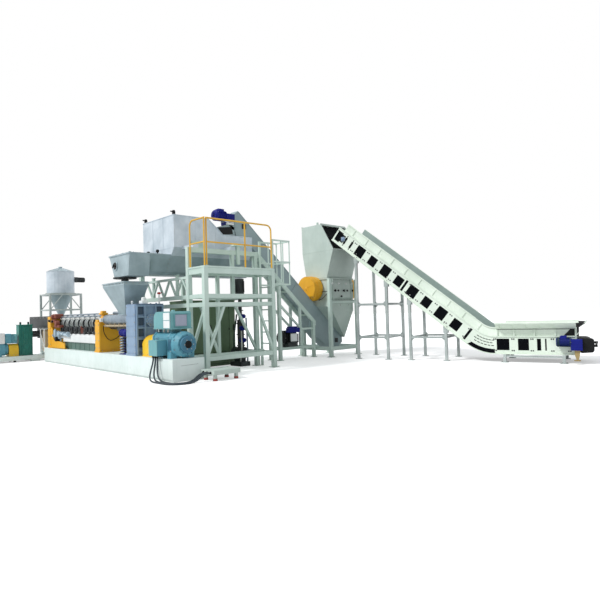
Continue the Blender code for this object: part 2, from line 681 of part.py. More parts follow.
# Platform
def platform_frame(bm):
    x0, x1 = PLAT_X
    y0, y1 = PLAT_Y
    xb = FRAME_BACK_X
    deck_z = DECK_TOP - DECK_T - GAP
    carrier = BIN_CREASE - 0.05 - GAP
    h = POST / 2.0
    for y in (y0, y1):
        box(bm, (x1 - h, y - h, 0.0), (x1 + h, y + h, deck_z))
    box(bm, (x0 - 0.04, HANGER_Y - 0.04, 0.28), (x0 + 0.04, HANGER_Y + 0.04, deck_z - 0.05))
    box(bm, (x0 - 0.045, MID_POST_Y - 0.045, 1.85), (x0 + 0.045, MID_POST_Y + 0.045, carrier - 0.05))
    box(bm, (xb - h, MID_POST_Y - h, 0.0), (xb + h, MID_POST_Y + h, carrier - 0.05))
    for y in (y0, y1):
        box(bm, (x0 - h, y - h, 0.0), (x0 + h, y + h, carrier - 0.05))
        box(bm, (xb - h, y - h, 0.0), (xb + h, y + h, carrier - 0.05))
    # carrier beams for the bin
    for x in (x0, xb):
        box(bm, (x - h, y0 - h, carrier - 0.12), (x + h, y1 + h, carrier))
    # deck edge and side beams
    for z, d in ((deck_z - 0.13, 0.13), (1.80, 0.1), (1.60, 0.1), (0.33, 0.1)):
        for y in (y0, y1):
            w = 0.04
            xa = xb if 1.5 < z < 2.0 or (y == y1 and z < 1.0) else x0
            box(bm, (xa, y - w, z), (x1, y + w, z + d))
        box(bm, (x1 - 0.041, y0, z + 0.001), (x1 + 0.041, y1, z + d - 0.001))
        box(bm, (x0 - 0.041, y0, z + 0.001), (x0 + 0.041, y1, z + d - 0.001))
    # lattice under the trough
    zt = 2.36
    box(bm, (xb, y0 - 0.03, zt - 0.06), (x0, y0 + 0.03, zt))
    n = 4
    for i in range(n):
        xa = xb + (x0 - xb) * i / n
        xc = xb + (x0 - xb) * (i + 1) / n
        xm = (xa + xc) / 2.0
        beam(bm, (xa, y0, 1.88), (xm, y0, zt - 0.03), 0.045, 0.045)
        beam(bm, (xm, y0, zt - 0.03), (xc, y0, 1.88), 0.045, 0.045)
    # diagonals in the lower bays
    run = 0.52
    for a, b in (((x1, y0, 0.4), (x1, y0 + run, 1.64)), ((x1, y1 - run, 1.64), (x1, y1, 0.4)),
                 ((x1, y0, 1.64), (x0, y0, 0.4)), ((x0, HANGER_Y - run, 1.64), (x0, HANGER_Y, 0.4)),
                 ((x0, y1 - 0.7, 1.64), (x0, y1, 0.4))):
        beam(bm, a, b, 0.06, 0.06)


node("platform_frame", WHITE_GREEN, platform_frame)


def platform_deck(bm):
    z0 = DECK_TOP - DECK_T
    h = POST / 2.0
    box(bm, (PLAT_X[0] + h + GAP, PLAT_Y[0] - h, z0), (PLAT_X[1] + h, PLAT_Y[1] + h, DECK_TOP))
    # kick plates
    box(bm, (PLAT_X[1] + h - 0.01, PLAT_Y[0] - h, z0), (PLAT_X[1] + h, PLAT_Y[1] + h, DECK_TOP + 0.09))
    box(bm, (PLAT_X[0] + h + GAP, PLAT_Y[0] - h, z0), (PLAT_X[1] + h, PLAT_Y[0] - h + 0.01, DECK_TOP + 0.09))


node("platform_deck", WHITE_GREEN, platform_deck)


def rail_panel(bm, a, b, posts, round_a=True, round_b=True):
    """Guard rail from a to b: posts, a mid rail and a top rail with round corners."""
    z0 = DECK_TOP + GAP
    z1 = DECK_TOP + RAIL_H
    a = Vector(a)
    b = Vector(b)
    d = (b - a).normalized()
    rc = 0.14
    up = Vector((0.0, 0.0, 1.0))
    pts = [a + up * z0, a + up * z1] if not round_a else [a + up * z0]
    if round_a:
        for p in arc(0.0, 0.0, rc, 180, 90, 4):
            pts.append(a + d * (rc + p[0]) + up * (z1 - rc + p[1]))
    if round_b:
        for p in arc(0.0, 0.0, rc, 90, 0, 4):
            pts.append(b + d * (p[0] - rc) + up * (z1 - rc + p[1]))
    pts += [b + up * z0] if round_b else [b + up * z1, b + up * z0]
    tube_path(bm, pts, RAIL_R, 6)
    zm = DECK_TOP + RAIL_H / 2.0
    rod(bm, (a.x, a.y, zm), (b.x, b.y, zm), RAIL_R * 0.9, 6)
    for t in posts:
        p = a + (b - a) * t
        rod(bm, (p.x, p.y, z0), (p.x, p.y, z1), RAIL_R * 0.97, 6)


RAIL_X = PLAT_X[1]
node("handrail_front", YELLOW,
     lambda bm: rail_panel(bm, (RAIL_X, PLAT_Y[0] + 0.06, 0), (RAIL_X, PLAT_Y[1], 0), (0.57,), round_a=False),
     smooth=40)
node("handrail_end", YELLOW,
     lambda bm: rail_panel(bm, (PLAT_X[0] + 0.08, PLAT_Y[0], 0), (RAIL_X, PLAT_Y[0], 0), (),
                           round_b=False), smooth=40)


def ladder(bm):
    y = PLAT_Y[1] + POST / 2.0 + 0.06
    xa, xc = PLAT_X[0] + 0.08, PLAT_X[1] - 0.10
    top = DECK_TOP + 0.80
    for x in (xa, xc):
        box(bm, (x - 0.02, y - 0.03, 0.0), (x + 0.02, y + 0.03, top))
    z = 0.3
    while z < DECK_TOP:
        rod(bm, (xa, y, z), (xc, y, z), 0.016, 6)
        z += 0.3
    # stand-offs to the frame
    for z in (0.4, 1.65):
        for x in (xa, xc):
            box(bm, (x - 0.02, PLAT_Y[1] + 0.04 + GAP, z), (x + 0.02, y + 0.01, z + 0.05))
    # cage
    cy = y + 0.62
    for z in (2.15, 2.75, top - 0.04):
        box(bm, (xa - 0.02, y - 0.01, z), (xa + 0.012, cy, z + 0.04))
        box(bm, (xc - 0.012, y - 0.01, z), (xc + 0.02, cy, z + 0.04))
        box(bm, (xa - 0.02, cy - 0.03, z), (xc + 0.02, cy, z + 0.04))
    for x in (xa, (xa + xc) / 2.0, xc):
        box(bm, (x - 0.014, cy - 0.024, 2.16), (x + 0.014, cy - 0.004, top - 0.01))
    for x in (xa, xc):
        box(bm, (x - 0.01, (y + cy) / 2 - 0.014, 2.16), (x + 0.01, (y + cy) / 2 + 0.014, top - 0.01))


node("access_ladder", WHITE_GREEN, ladder)


CABINET_X = (-2.80, -2.00)
CABINET_Y = (1.50, 3.08)
CABINET_TOP = 1.77


def cabinet(bm):
    (x0, x1), (y0, y1) = CABINET_X, CABINET_Y
    box(bm, (x0, y0, 0.09), (x1, y1, CABINET_TOP))
    box(bm, (x0 + 0.05, y0 + 0.05, 0.0), (x1 - 0.05, y1 - 0.05, 0.1))
    # double doors and a narrow end door, proud of the frame
    seams = (y0 + 0.02, y0 + 0.71, y1 - 0.21, y1 - 0.02)
    for a, b in zip(seams[:-1], seams[1:]):
        box(bm, (x1 - 0.01, a + 0.006, 0.14), (x1 + 0.018, b - 0.006, CABINET_TOP - 0.03))


node("control_cabinet", OLIVE, cabinet)


def pump_unit(bm):
    """Pump on a plinth with its riser and the motor on top of it."""
    x, y = -1.50, 2.90
    box(bm, (x - 0.30, y - 0.15, 0.0), (x + 0.20, y + 0.15, 0.12))
    rod(bm, (x - 0.26, y, 0.36), (x + 0.14, y, 0.36), 0.14, 14)
    box(bm, (x - 0.16, y - 0.09, 0.1), (x + 0.08, y + 0.09, 0.3))
    rod(bm, (x, y, 0.4), (x, y, 1.25), 0.09, 12)
    rod(bm, (x, y, 1.2), (x, y, 1.98), 0.05, 8)
    rod(bm, (x, y, 1.95), (x, y, 2.36), 0.12, 14)


node("water_pump", CAST, pump_unit, smooth=30)


# Enclosed conveyor from granulator to bin
HEAD_LOW_Z = 3.46
BOOT_Y = (6.48, 7.12)
BOOT_LOW = 0.18


def casing_profile():
    """Outline in Y and Z: head over the bin, sloping leg, and the boot under the granulator."""
    ya, za = CASING_TOP_A
    k = (CASING_TOP_B[1] - za) / (CASING_TOP_B[0] - ya)
    y_low = ya + (HEAD_LOW_Z + CASING_DEEP - za) / k
    ye = BOOT_Y[1] + 0.01
    heel = 5.60
    boot = [(ye, casing_top(ye)), (ye, BOOT_LOW + 0.20), (ye - 0.28, BOOT_LOW), (BOOT_Y[0], BOOT_LOW + 0.04),
            (BOOT_Y[0] - 0.53, BOOT_LOW + 0.42), (heel + 0.02, BOOT_LOW + 0.77), (heel, casing_low(heel))]
    return [(ya, za)] + boot + [(y_low, HEAD_LOW_Z), (ya - 0.06, HEAD_LOW_Z), (ya - 0.12, HEAD_LOW_Z + 0.28),
                                (ya - 0.12, za - 0.10)]


def casing(bm):
    prism(bm, casing_profile(), CASING_X[0], CASING_X[1], "yz")
    # flange joints between the casing lengths
    k = (CASING_TOP_B[1] - CASING_TOP_A[1]) / (CASING_TOP_B[0] - CASING_TOP_A[0])
    for i in range(3):
        y = 3.78 + i * 0.62
        c = Vector(((CASING_X[0] + CASING_X[1]) / 2.0, y, casing_top(y) - CASING_DEEP / 2.0))
        d = Vector((0.0, -k, 1.0)).normalized() * (CASING_DEEP / 2.0 / math.hypot(1.0, k) - 0.012)
        beam(bm, c - d, c + d, CASING_X[1] - CASING_X[0] + 0.04, 0.03)


def casing_cuts(bm):
    # discharge mouth over the bin
    x0, x1 = CASING_X
    y = CASING_TOP_A[0]
    prism(bm, [(y - 0.03, HEAD_LOW_Z - 0.2), (y + 0.17, HEAD_LOW_Z - 0.2), (y + 0.17, 3.76), (y - 0.03, 3.76)],
          x0 + 0.03, x1 - 0.03, "yz")


node("conveyor_casing", GALV, casing, casing_cuts)


def casing_drive(bm):
    """Gearmotor hung on the end of the head, its motor pointing away from the casing."""
    y = CASING_TOP_A[0] - 0.12 - GAP
    x = (CASING_X[0] + CASING_X[1]) / 2.0 + 0.04
    box(bm, (x - 0.13, y - 0.26, 3.93), (x + 0.13, y, 4.15))
    box(bm, (x - 0.10, y - 0.30, 3.84), (x + 0.10, y, 3.95))
    rod(bm, (x, y - 0.24, 4.08), (x, y - 0.60, 4.08), 0.13, 14)
    box(bm, (x - 0.07, y - 0.50, 4.17), (x + 0.09, y - 0.32, 4.26))


node("casing_drive", BLUE, casing_drive, smooth=30)


STAND_Y = (4.38, 5.20, 5.76)
STAND_BASE = 0.30
MOTOR_BEARERS = (0.28, 0.60)


def casing_stand(bm):
    """Trestle under the enclosed conveyor: two channels along its underside, legs, and a low
    frame that carries a motor."""
    t = 0.05
    xs = (CASING_X[0] - 0.05, CASING_X[1] + 0.05)
    h = 0.045
    ya, yb = 3.60, STAND_Y[2] + 0.10
    for x in xs:
        lo = [(ya, casing_low(ya) - CHANNEL_DEEP), (yb, casing_low(yb) - CHANNEL_DEEP)]
        hi = [(yb, casing_low(yb) + 0.03), (ya, casing_low(ya) + 0.03)]
        a, b = (x - t / 2.0, x + t / 2.0) if x > CASING_X[0] else (x - t / 2.0, x + t / 2.0)
        prism(bm, lo + hi, a + 0.0005, b - 0.0005, "yz")
    for y in (3.75, 4.75, 5.55):
        z = casing_low(y + 0.03) - GAP
        box(bm, (xs[0], y - 0.03, z - 0.06), (xs[1], y + 0.03, z))
    for x in xs:
        for y in (STAND_Y[0], STAND_Y[2]):
            box(bm, (x - h, y - h, 0.006), (x + h, y + h, casing_low(y) - CHANNEL_DEEP / 2.0))
            box(bm, (x - 0.08, y - 0.08, 0.0), (x + 0.08, y + 0.08, 0.012))
        box(bm, (x - 0.035, STAND_Y[1] - 0.035, STAND_BASE),
            (x + 0.035, STAND_Y[1] + 0.035, casing_low(STAND_Y[1]) - CHANNEL_DEEP / 2.0))
        box(bm, (x - 0.038, STAND_Y[0], STAND_BASE), (x + 0.038, STAND_Y[2], STAND_BASE + 0.08))
        box(bm, (x - 0.03, STAND_Y[1], 0.87), (x + 0.03, STAND_Y[2] - 0.03, 0.93))
        beam(bm, (x, STAND_Y[0], 1.66), (x, STAND_Y[1], 0.93), 0.055, 0.055)
    for y in (STAND_Y[0], STAND_Y[2]):
        box(bm, (xs[0], y - 0.036, STAND_BASE + 0.002), (xs[1], y + 0.036, STAND_BASE + 0.078))
    for d in MOTOR_BEARERS:
        y = STAND_Y[0] + d
        box(bm, (xs[0], y, STAND_BASE + 0.004), (xs[1], y + 0.08, STAND_BASE + 0.076))


node("casing_stand", WHITE_GREEN, casing_stand)


# Granulator
def gran_outline(grow):
    x0, x1 = GRAN_X
    z0 = CHAMBER_Z[1] + GAP
    return [(x0 + 0.18 + grow, z0), (x1 - 0.06 - grow, z0), (x1 + 0.23 - grow, 3.30),
            (x1 - 0.28 - grow * 1.2, 4.15 - grow), (x0 + 0.02 + grow, 4.15 - grow), (x0 + 0.03 + grow, 3.28)]


def gran_hopper(bm):
    prism(bm, gran_outline(0.0), GRAN_Y[0], GRAN_Y[1], "xz")
    box(bm, (GRAN_X[0] + 0.6, GRAN_Y[0] + 0.1, 4.13), (GRAN_X[0] + 0.66, GRAN_Y[0] + 0.14, 4.25))


def gran_hopper_cuts(bm):
    t = SHEET
    prof = gran_outline(t)
    prof[0] = (prof[0][0], prof[0][1] - 0.1)
    prof[1] = (prof[1][0], prof[1][1] - 0.1)
    prism(bm, prof, GRAN_Y[0] + t, GRAN_Y[1] - t, "xz")
    # slanted inlet
    x1 = GRAN_X[1]
    prism(bm, [(x1 + 0.0, 3.34), (x1 + 0.5, 3.34), (x1 + 0.5, 4.12), (x1 - 0.31, 4.12), (x1 - 0.31, 3.9)],
          GRAN_Y[0] + t, GRAN_Y[1] - t, "xz")


node("granulator_hopper", SAGE, gran_hopper, gran_hopper_cuts)


def gran_chamber(bm):
    x0, x1 = GRAN_X
    z0, z1 = CHAMBER_Z
    y0, y1 = GRAN_Y
    prof = [(x0 + 0.12, z0), (x1 - 0.05, z0), (x1 + 0.02, z0 + 0.12), (x1 + 0.02, z1 - 0.16), (x1 - 0.05, z1),
            (x0 + 0.16, z1), (x0 + 0.05, z1 - 0.16), (x0 + 0.05, z0 + 0.12)]
    prism(bm, prof, y0 + 0.04, y1 - 0.04, "xz")
    box(bm, (x0 + 0.1, y0, z1 - 0.04), (x1 - 0.0, y1, z1))
    box(bm, (x0 - 0.015, y0, z0), (x1 + 0.015, y1, z0 + 0.04))
    for y in (y0 + 0.14, y1 - 0.14):
        box(bm, (x1 - 0.05, y - 0.015, z0 + 0.03), (x1 + 0.05, y + 0.015, z1 - 0.03))


node("cutting_chamber", SAGE, gran_chamber)


def above_casing(bm):
    """Everything under the casing's upper edge, to be taken away where the casing passes."""
    ya, yb = 5.50, BOOT_Y[1] + 0.30
    lift = GAP * 1.4
    prism(bm, [(ya, 0.0), (yb, 0.0), (yb, casing_top(yb) + lift), (ya, casing_top(ya) + lift)],
          GRAN_X[0] - 0.2, GRAN_X[1] + 0.2, "yz")


def wheel_guard(bm, y0, y1):
    """Round guard beside the chamber, with a raised rim round its open side."""
    xc = (GRAN_X[0] + GRAN_X[1]) / 2.0 - 0.06
    rod(bm, (xc, y0, ROTOR_Z), (xc, y1, ROTOR_Z), 0.385, 24)
    mid = (y0 + y1) / 2.0
    rod(bm, (xc, mid - 0.03, ROTOR_Z), (xc, mid + 0.03, ROTOR_Z), 0.395, 24)


node("flywheel_guard", ORANGE, lambda bm: wheel_guard(bm, GRAN_Y[0] - 0.36, GRAN_Y[0] - GAP), above_casing,
     smooth=30)
node("pulley_guard", ORANGE, lambda bm: wheel_guard(bm, GRAN_Y[1] + GAP, GRAN_Y[1] + 0.48), smooth=30)


def gran_funnel(bm):
    """Upright band under the chamber, then a funnel down to the boot of the casing."""
    z1 = CHAMBER_Z[0] - GAP
    (x0, x1), (y0, y1) = GRAN_X, GRAN_Y
    box(bm, (x0 + 0.04, y0, 1.40), (x1 - 0.04, y1, z1))
    frustum(bm, (-2.0, -1.52, 6.80, BOOT_Y[1] + 0.01, 0.52), (x0 + 0.04, x1 - 0.04, y0 + 0.01, y1 - 0.01, 1.42))


node("granulator_funnel", SAGE, gran_funnel, above_casing)


def gran_frame(bm):
    x0, x1 = GRAN_X
    y0, y1 = GRAN_Y
    z0, z1 = GRAN_FRAME_Z
    h = 0.05
    seat = CHAMBER_Z[0] - GAP
    for x, top in ((x0 - 0.07, seat - 0.01), (x1 + 0.07, CHAMBER_Z[1] - 0.04)):
        for y in (y0 - 0.05, y1 + 0.05):
            box(bm, (x - h, y - h, 0.005), (x + h, y + h, top))
            box(bm, (x - 0.09, y - 0.09, 0.0), (x + 0.09, y + 0.09, 0.015))
        box(bm, (x - 0.04, y0 - 0.05, z0), (x + 0.04, y1 + 0.05, z1))
    # bearers under the cutting chamber
    box(bm, (x0 - 0.11, y0 - 0.05, seat - 0.06), (x0 + 0.03, y1 + 0.05, seat))
    box(bm, (x1 - 0.03, y0 - 0.05, seat - 0.06), (x1 + 0.11, y1 + 0.05, seat))
    box(bm, (x0 - 0.07, y1 + 0.05 - h + 0.004, seat - 0.058), (x1 + 0.07, y1 + 0.05 + h - 0.003, seat - 0.002))
    for y in (y0 - 0.05, y1 + 0.05):
        box(bm, (x0 - 0.07, y - 0.038, z0 + 0.002), (x1 + 0.07, y + 0.038, z1 - 0.002))


node("granulator_frame", WHITE_GREEN, gran_frame)


def gran_motor(bm):
    z0 = STAND_BASE + 0.08 + GAP
    z = z0 + 0.27
    xc = (CASING_X[0] + CASING_X[1]) / 2.0
    y0 = STAND_Y[0] + 0.24
    rod(bm, (xc, y0, z), (xc, y0 + 0.48, z), 0.20, 18)
    box(bm, (xc - 0.24, y0 + 0.06, z0), (xc + 0.24, y0 + 0.44, z0 + 0.14))
    box(bm, (xc + 0.1, y0 + 0.12, z - 0.14), (xc + 0.36, y0 + 0.36, z + 0.12))
    rod(bm, (xc, y0 + 0.46, z), (xc, y0 + 0.54, z), 0.10, 12)


node("granulator_motor", BLUE, gran_motor, smooth=30)


# Infeed conveyor
def line_z(u, off=0.0):
    """Height of the sloping centre line at u, moved off square to it."""
    return LINE_Z - SLOPE * (u - LINE_U) + off / COS_S


U_BEND = LINE_U + (LINE_Z - FLAT_Z) / SLOPE
SKIRT_END = U_BEND + 0.3545
TAIL_U = U_BEND + TAIL_RUN
WINDOW_U = LINE_U - 0.73


def lane(off, u0, u1, steps=6):
    """Points along the conveyor centre line moved off square to it, head to tail."""
    turn = math.atan(SLOPE)
    rad = 0.9
    t = rad * math.tan(turn / 2.0)
    ua = U_BEND - t * COS_S
    ub = U_BEND + t
    cx = ub
    cz = FLAT_Z + rad
    pts = [(u0 + off * SIN_S, line_z(u0) + off * COS_S)]
    for i in range(steps + 1):
        ang = -math.pi / 2.0 - turn + turn * i / steps
        rr = rad - off
        pts.append((cx + rr * math.cos(ang), cz + rr * math.sin(ang)))
    pts.append((u1, FLAT_Z + off))
    return pts


def plate_outline(lo, hi, u0, u1):
    return lane(lo, u0, u1) + list(reversed(lane(hi, u0, u1)))


def sweep_lane(bm, section, u0, u1):
    """Closed solid: a section of (v, off) points carried along the conveyor line."""
    lines = [lane(off, u0, u1) for v, off in section]
    rings = []
    for k in range(len(lines[0])):
        rings.append([bm.verts.new((lines[i][k][0], section[i][0], lines[i][k][1]))
                      for i in range(len(section))])
    faces = [bm.faces.new(rings[0]), bm.faces.new(list(reversed(rings[-1])))]
    n = len(section)
    for a, b in zip(rings[:-1], rings[1:]):
        for k in range(n):
            j = (k + 1) % n
            faces.append(bm.faces.new((a[j], a[k], b[k], b[j])))
    bmesh.ops.recalc_face_normals(bm, faces=faces)


def channel(s, lo, hi, t, deep, lip):
    """Section of a side channel: web t thick, flanges deep wide and lip thick."""
    a, b, c = s * PLATE_V, s * (PLATE_V + t), s * (PLATE_V + deep)
    return [(a, lo), (c, lo), (c, lo + lip), (b, lo + lip), (b, hi - lip), (c, hi - lip), (c, hi), (a, hi)]


def infeed_frame(bm):
    for s in (-1.0, 1.0):
        sweep_lane(bm, channel(s, -HALF_DEEP, HALF_DEEP, PLATE_T, 0.05, 0.02), HEAD_U, TAIL_U)
    for i in (0, 3, 6):
        u = WINDOW_U + WINDOW_PITCH * (i + 0.5)
        rod(bm, (u, -PLATE_V - 0.01, line_z(u)), (u, PLATE_V + 0.01, line_z(u)), 0.035, 8)
    for d in (0.75, 1.19, 1.92):
        u = U_BEND + d
        rod(bm, (u, -PLATE_V - 0.01, FLAT_Z), (u, PLATE_V + 0.01, FLAT_Z), 0.035, 8)


def infeed_windows(bm):
    """Square windows along the slope, take-up slots at the head, openings in the level part."""
    along = Vector((COS_S, 0.0, -SIN_S))
    square = Vector((SIN_S, 0.0, COS_S))
    holes = []
    for i in range(WINDOWS):
        wide, high = (0.26, 0.27) if i % 2 == 0 else (0.22, 0.20)
        holes.append((WINDOW_U + WINDOW_PITCH * i, 0.0, wide, high))
    holes += [(HEAD_U + 0.11, -0.125, 0.18, 0.08), (HEAD_U + 0.10, 0.13, 0.22, 0.035),
              (HEAD_U + 0.31, 0.0, 0.03, 0.34), (HEAD_U + 0.49, 0.0, 0.03, 0.34)]
    for s in (-1.0, 1.0):
        a = s * (PLATE_V - 0.05)
        b = s * (PLATE_V + 0.2)
        for u, off, wide, high in holes:
            c = Vector((u, (a + b) / 2.0, line_z(u))) + square * off
            d = along * wide / 2.0
            beam(bm, c - d, c + d, abs(b - a), high)
        for u, wide in ((0.50, 0.30), (0.975, 0.25), (1.325, 0.09), (1.475, 0.035)):
            c = U_BEND + u
            box(bm, (c - wide / 2.0, min(a, b), FLAT_Z - 0.13), (c + wide / 2.0, max(a, b), FLAT_Z + 0.16))


node("infeed_side_frames", WHITE_GREEN, infeed_frame, infeed_windows, frame=CONV)

PULLEY_R = 0.15
BELT_T = 0.014
BELT_V = 0.48
HEAD_C = (HEAD_U + 0.24, line_z(HEAD_U + 0.24))
TAIL_C = (TAIL_U + 0.14, FLAT_Z)


def belt_loop(off):
    """Closed belt outline round both pulleys; its flats clear the pulleys' corners."""
    r = PULLEY_R / math.cos(math.pi / 24.0) + GAP + off
    slope_deg = math.degrees(math.atan(SLOPE))
    upper = lane(r, HEAD_C[0], TAIL_C[0])
    lower = list(reversed(lane(-r, HEAD_C[0], TAIL_C[0])))
    tail = arc(TAIL_C[0], TAIL_C[1], r, 90, -90, 12)[1:-1]
    head = arc(HEAD_C[0], HEAD_C[1], r, 270 - slope_deg, 90 - slope_deg, 12)[1:-1]
    return upper + tail + lower + head


def infeed_belt(bm):
    ring_prism(bm, belt_loop(BELT_T), belt_loop(0.0), -BELT_V, BELT_V, "xz")


node("infeed_belt", RUBBER, infeed_belt, smooth=30, frame=CONV)


def pulley(bm, c):
    rod(bm, (c[0], -BELT_V, c[1]), (c[0], BELT_V, c[1]), PULLEY_R, 24)
    rod(bm, (c[0], -PLATE_V + GAP, c[1]), (c[0], PLATE_V - GAP, c[1]), 0.04, 10)


node("infeed_head_pulley", CAST, lambda bm: pulley(bm, HEAD_C), smooth=30, frame=CONV)
node("infeed_tail_pulley", CAST, lambda bm: pulley(bm, TAIL_C), smooth=30, frame=CONV)


def tail_cheeks(bm):
    """Plates that carry the tail pulley beyond the side frames."""
    for s in (-1.0, 1.0):
        a = s * PLATE_V
        b = s * (PLATE_V + PLATE_T)
        prof = [(TAIL_U + GAP, FLAT_Z - 0.12), (TAIL_U + GAP, FLAT_Z + 0.12)]
        prof += arc(TAIL_C[0] + 0.06, FLAT_Z, 0.12, 90, -90, 8)
        prism(bm, prof, min(a, b), max(a, b), "xz")
    rod(bm, (TAIL_C[0] + 0.24, -PLATE_V - 0.01, FLAT_Z), (TAIL_C[0] + 0.24, PLATE_V + 0.01, FLAT_Z), 0.02, 8)
    for s in (-1.0, 1.0):
        a = s * PLATE_V
        b = s * (PLATE_V + PLATE_T)
        box(bm, (TAIL_C[0] + 0.1, min(a, b), FLAT_Z - 0.03), (TAIL_C[0] + 0.27, max(a, b), FLAT_Z + 0.03))


node("infeed_tail_guard", GALV, tail_cheeks, smooth=30, frame=CONV)


def skirt(bm, s):
    lo = HALF_DEEP + GAP
    hi = HALF_DEEP + 0.22
    sweep_lane(bm, channel(s, lo, hi, 0.015, 0.045, 0.02), HEAD_U + 0.16, SKIRT_END)
    for i in range(-1, WINDOWS + 1):
        u = WINDOW_U + i * WINDOW_PITCH
        p = Vector((u + lo * SIN_S, s * (PLATE_V + 0.022), line_z(u) + lo * COS_S))
        d = Vector((SIN_S, 0.0, COS_S))
        beam(bm, p + d * 0.008, p + d * (hi - lo - 0.008), 0.03, 0.03)


node("infeed_near_skirt", WHITE_GREEN, lambda bm: skirt(bm, -1.0), frame=CONV)
node("infeed_far_skirt", WHITE_GREEN, lambda bm: skirt(bm, 1.0), frame=CONV)


def loading_hopper(bm):
    """Flared sheet hopper over the level part of the belt, open to the slope."""
    t = 0.015
    u0, u1 = SKIRT_END + GAP, TAIL_U - 0.01
    z0 = FLAT_Z + HALF_DEEP + GAP
    zm, z1 = 0.83, 0.97
    for s in (-1.0, 1.0):
        prof = [(s * PLATE_V, z0), (s * PLATE_V, zm + t), (s * (PLATE_V + 0.27), z1 + t),
                (s * (PLATE_V + 0.27), z1), (s * (PLATE_V + t), zm), (s * (PLATE_V + t), z0)]
        prism(bm, prof, u0, u1, "yz")
        for u in (u0, u0 + 0.40, u0 + 0.86, u0 + 1.32, u1 - 0.03):
            a, b = s * (PLATE_V + 0.005), s * (PLATE_V + 0.06)
            box(bm, (u, min(a, b), z0), (u + 0.03, max(a, b), zm - 0.01))
    box(bm, (u1 - t, -PLATE_V - 0.01, z0), (u1, PLATE_V + 0.01, zm + 0.02))
    prism(bm, [(u1 - t, zm), (u1 + 0.2, z1), (u1 + 0.2, z1 + t), (u1 - t, zm + t + 0.002)],
          -PLATE_V - 0.01, PLATE_V + 0.01, "xz")


node("infeed_loading_hopper", WHITE_GREEN, loading_hopper, frame=CONV)


LEG_V = PLATE_V + 0.075
TIE_LOW = 0.60
TIE_HIGH = 1.55
TALL_U = (LINE_U - 0.84, LINE_U + 0.07)
MID_U = (LINE_U + 0.73, LINE_U + 1.70)
SHORT_U = (U_BEND + 0.535, U_BEND + 1.855)


def leg_stand(bm, us, tie_zs):
    for u in us:
        for s in (-1.0, 1.0):
            v = s * LEG_V
            z = line_z(u, -HALF_DEEP)
            box(bm, (u - 0.035, v - 0.035, 0.0), (u + 0.035, v + 0.035, z + 0.2))
            box(bm, (u - 0.08, v - 0.08, 0.0), (u + 0.08, v + 0.08, 0.012))
            # cleat under the channel
            a, b = s * (PLATE_V + 0.001), s * (LEG_V + 0.03)
            box(bm, (u - 0.06, min(a, b), z - 0.12), (u + 0.06, max(a, b), z + 0.2))
    for z in tie_zs:
        for u in us:
            if line_z(u, -HALF_DEEP) > z + 0.1:
                box(bm, (u - 0.025, -LEG_V, z), (u + 0.025, LEG_V, z + 0.05))
        for s in (-1.0, 1.0):
            v = s * LEG_V
            if line_z(us[-1], -HALF_DEEP) > z + 0.1:
                box(bm, (us[0], v - 0.025, z), (us[-1], v + 0.025, z + 0.05))


def slope_cut(bm):
    """Everything above the underside of the slope, to trim the tops of the legs."""
    lo = -HALF_DEEP - GAP
    pts = [p for p in lane(lo, 0.0, U_BEND) if p[0] < U_BEND - 0.2]
    prism(bm, pts + [(pts[-1][0], 6.0), (pts[0][0], 6.0)], -2.0, 2.0, "xz")


node("infeed_tall_stand", GALV, lambda bm: leg_stand(bm, TALL_U, (TIE_HIGH, TIE_LOW)), slope_cut, frame=CONV)
node("infeed_mid_stand", GALV, lambda bm: leg_stand(bm, MID_U, (TIE_LOW,)), slope_cut, frame=CONV)


def short_legs(bm):
    z1 = FLAT_Z - HALF_DEEP - GAP
    for u in SHORT_U:
        for s in (-1.0, 1.0):
            v = s * (PLATE_V + 0.03)
            box(bm, (u - 0.035, v - 0.035, 0.0), (u + 0.035, v + 0.035, z1))
            box(bm, (u - 0.08, v - 0.08, 0.0), (u + 0.08, v + 0.08, 0.012))
        box(bm, (u - 0.025, -PLATE_V, z1 - 0.07), (u + 0.025, PLATE_V, z1 - 0.02))
    for s in (-1.0, 1.0):
        v = s * (PLATE_V + 0.03)
        box(bm, (SHORT_U[0], v - 0.02, z1 - 0.065), (SHORT_U[1], v + 0.02, z1 - 0.025))


node("infeed_short_legs", CAST, short_legs, frame=CONV)


def infeed_drive(bm):
    """Gearbox on the side of the tail end with its motor lying along the frame."""
    v0 = -PLATE_V - 0.05 - GAP
    u, z = TAIL_U - 0.01, FLAT_Z + 0.03
    box(bm, (u - 0.12, v0 - 0.2, z - 0.13), (u + 0.12, v0, z + 0.13))
    rod(bm, (u - 0.1, v0 - 0.11, z + 0.06), (u - 0.42, v0 - 0.11, z + 0.06), 0.1, 14)
    box(bm, (u - 0.34, v0 - 0.18, z + 0.13), (u - 0.2, v0 - 0.04, z + 0.20))
    rod(bm, (u, v0 - 0.02, z), (u, -PLATE_V - PLATE_T - GAP, z), 0.1, 12)


node("infeed_drive", BLUE, infeed_drive, smooth=30, frame=CONV)


# Second stage extruder, lying across the die end of the first
S2_X = -9.72
S2_Z = 0.92
S2_BASE_H = 0.20
S2_CASE_Y = (-0.51, -0.08)
S2_GUARD_Y = (-0.82, -0.53)
S2_MOTOR_Y = (-1.90, -0.84)
HOOD_Z = (1.105, 1.52)
HOOD_X = (-10.75, BARREL_END - 0.25)


def s2_base(bm):
    box(bm, (S2_X - 0.42, S2_MOTOR_Y[0] - 0.1, 0.0), (S2_X + 0.42, 2.55, S2_BASE_H))
    # posts that carry the barrel
    for y in (0.25, 2.12):
        box(bm, (S2_X - 0.18, y, 0.15), (S2_X + 0.18, y + 0.08, 0.80))
    box(bm, (S2_X - 0.17, 0.26, 0.18), (S2_X + 0.17, 2.19, 0.25))


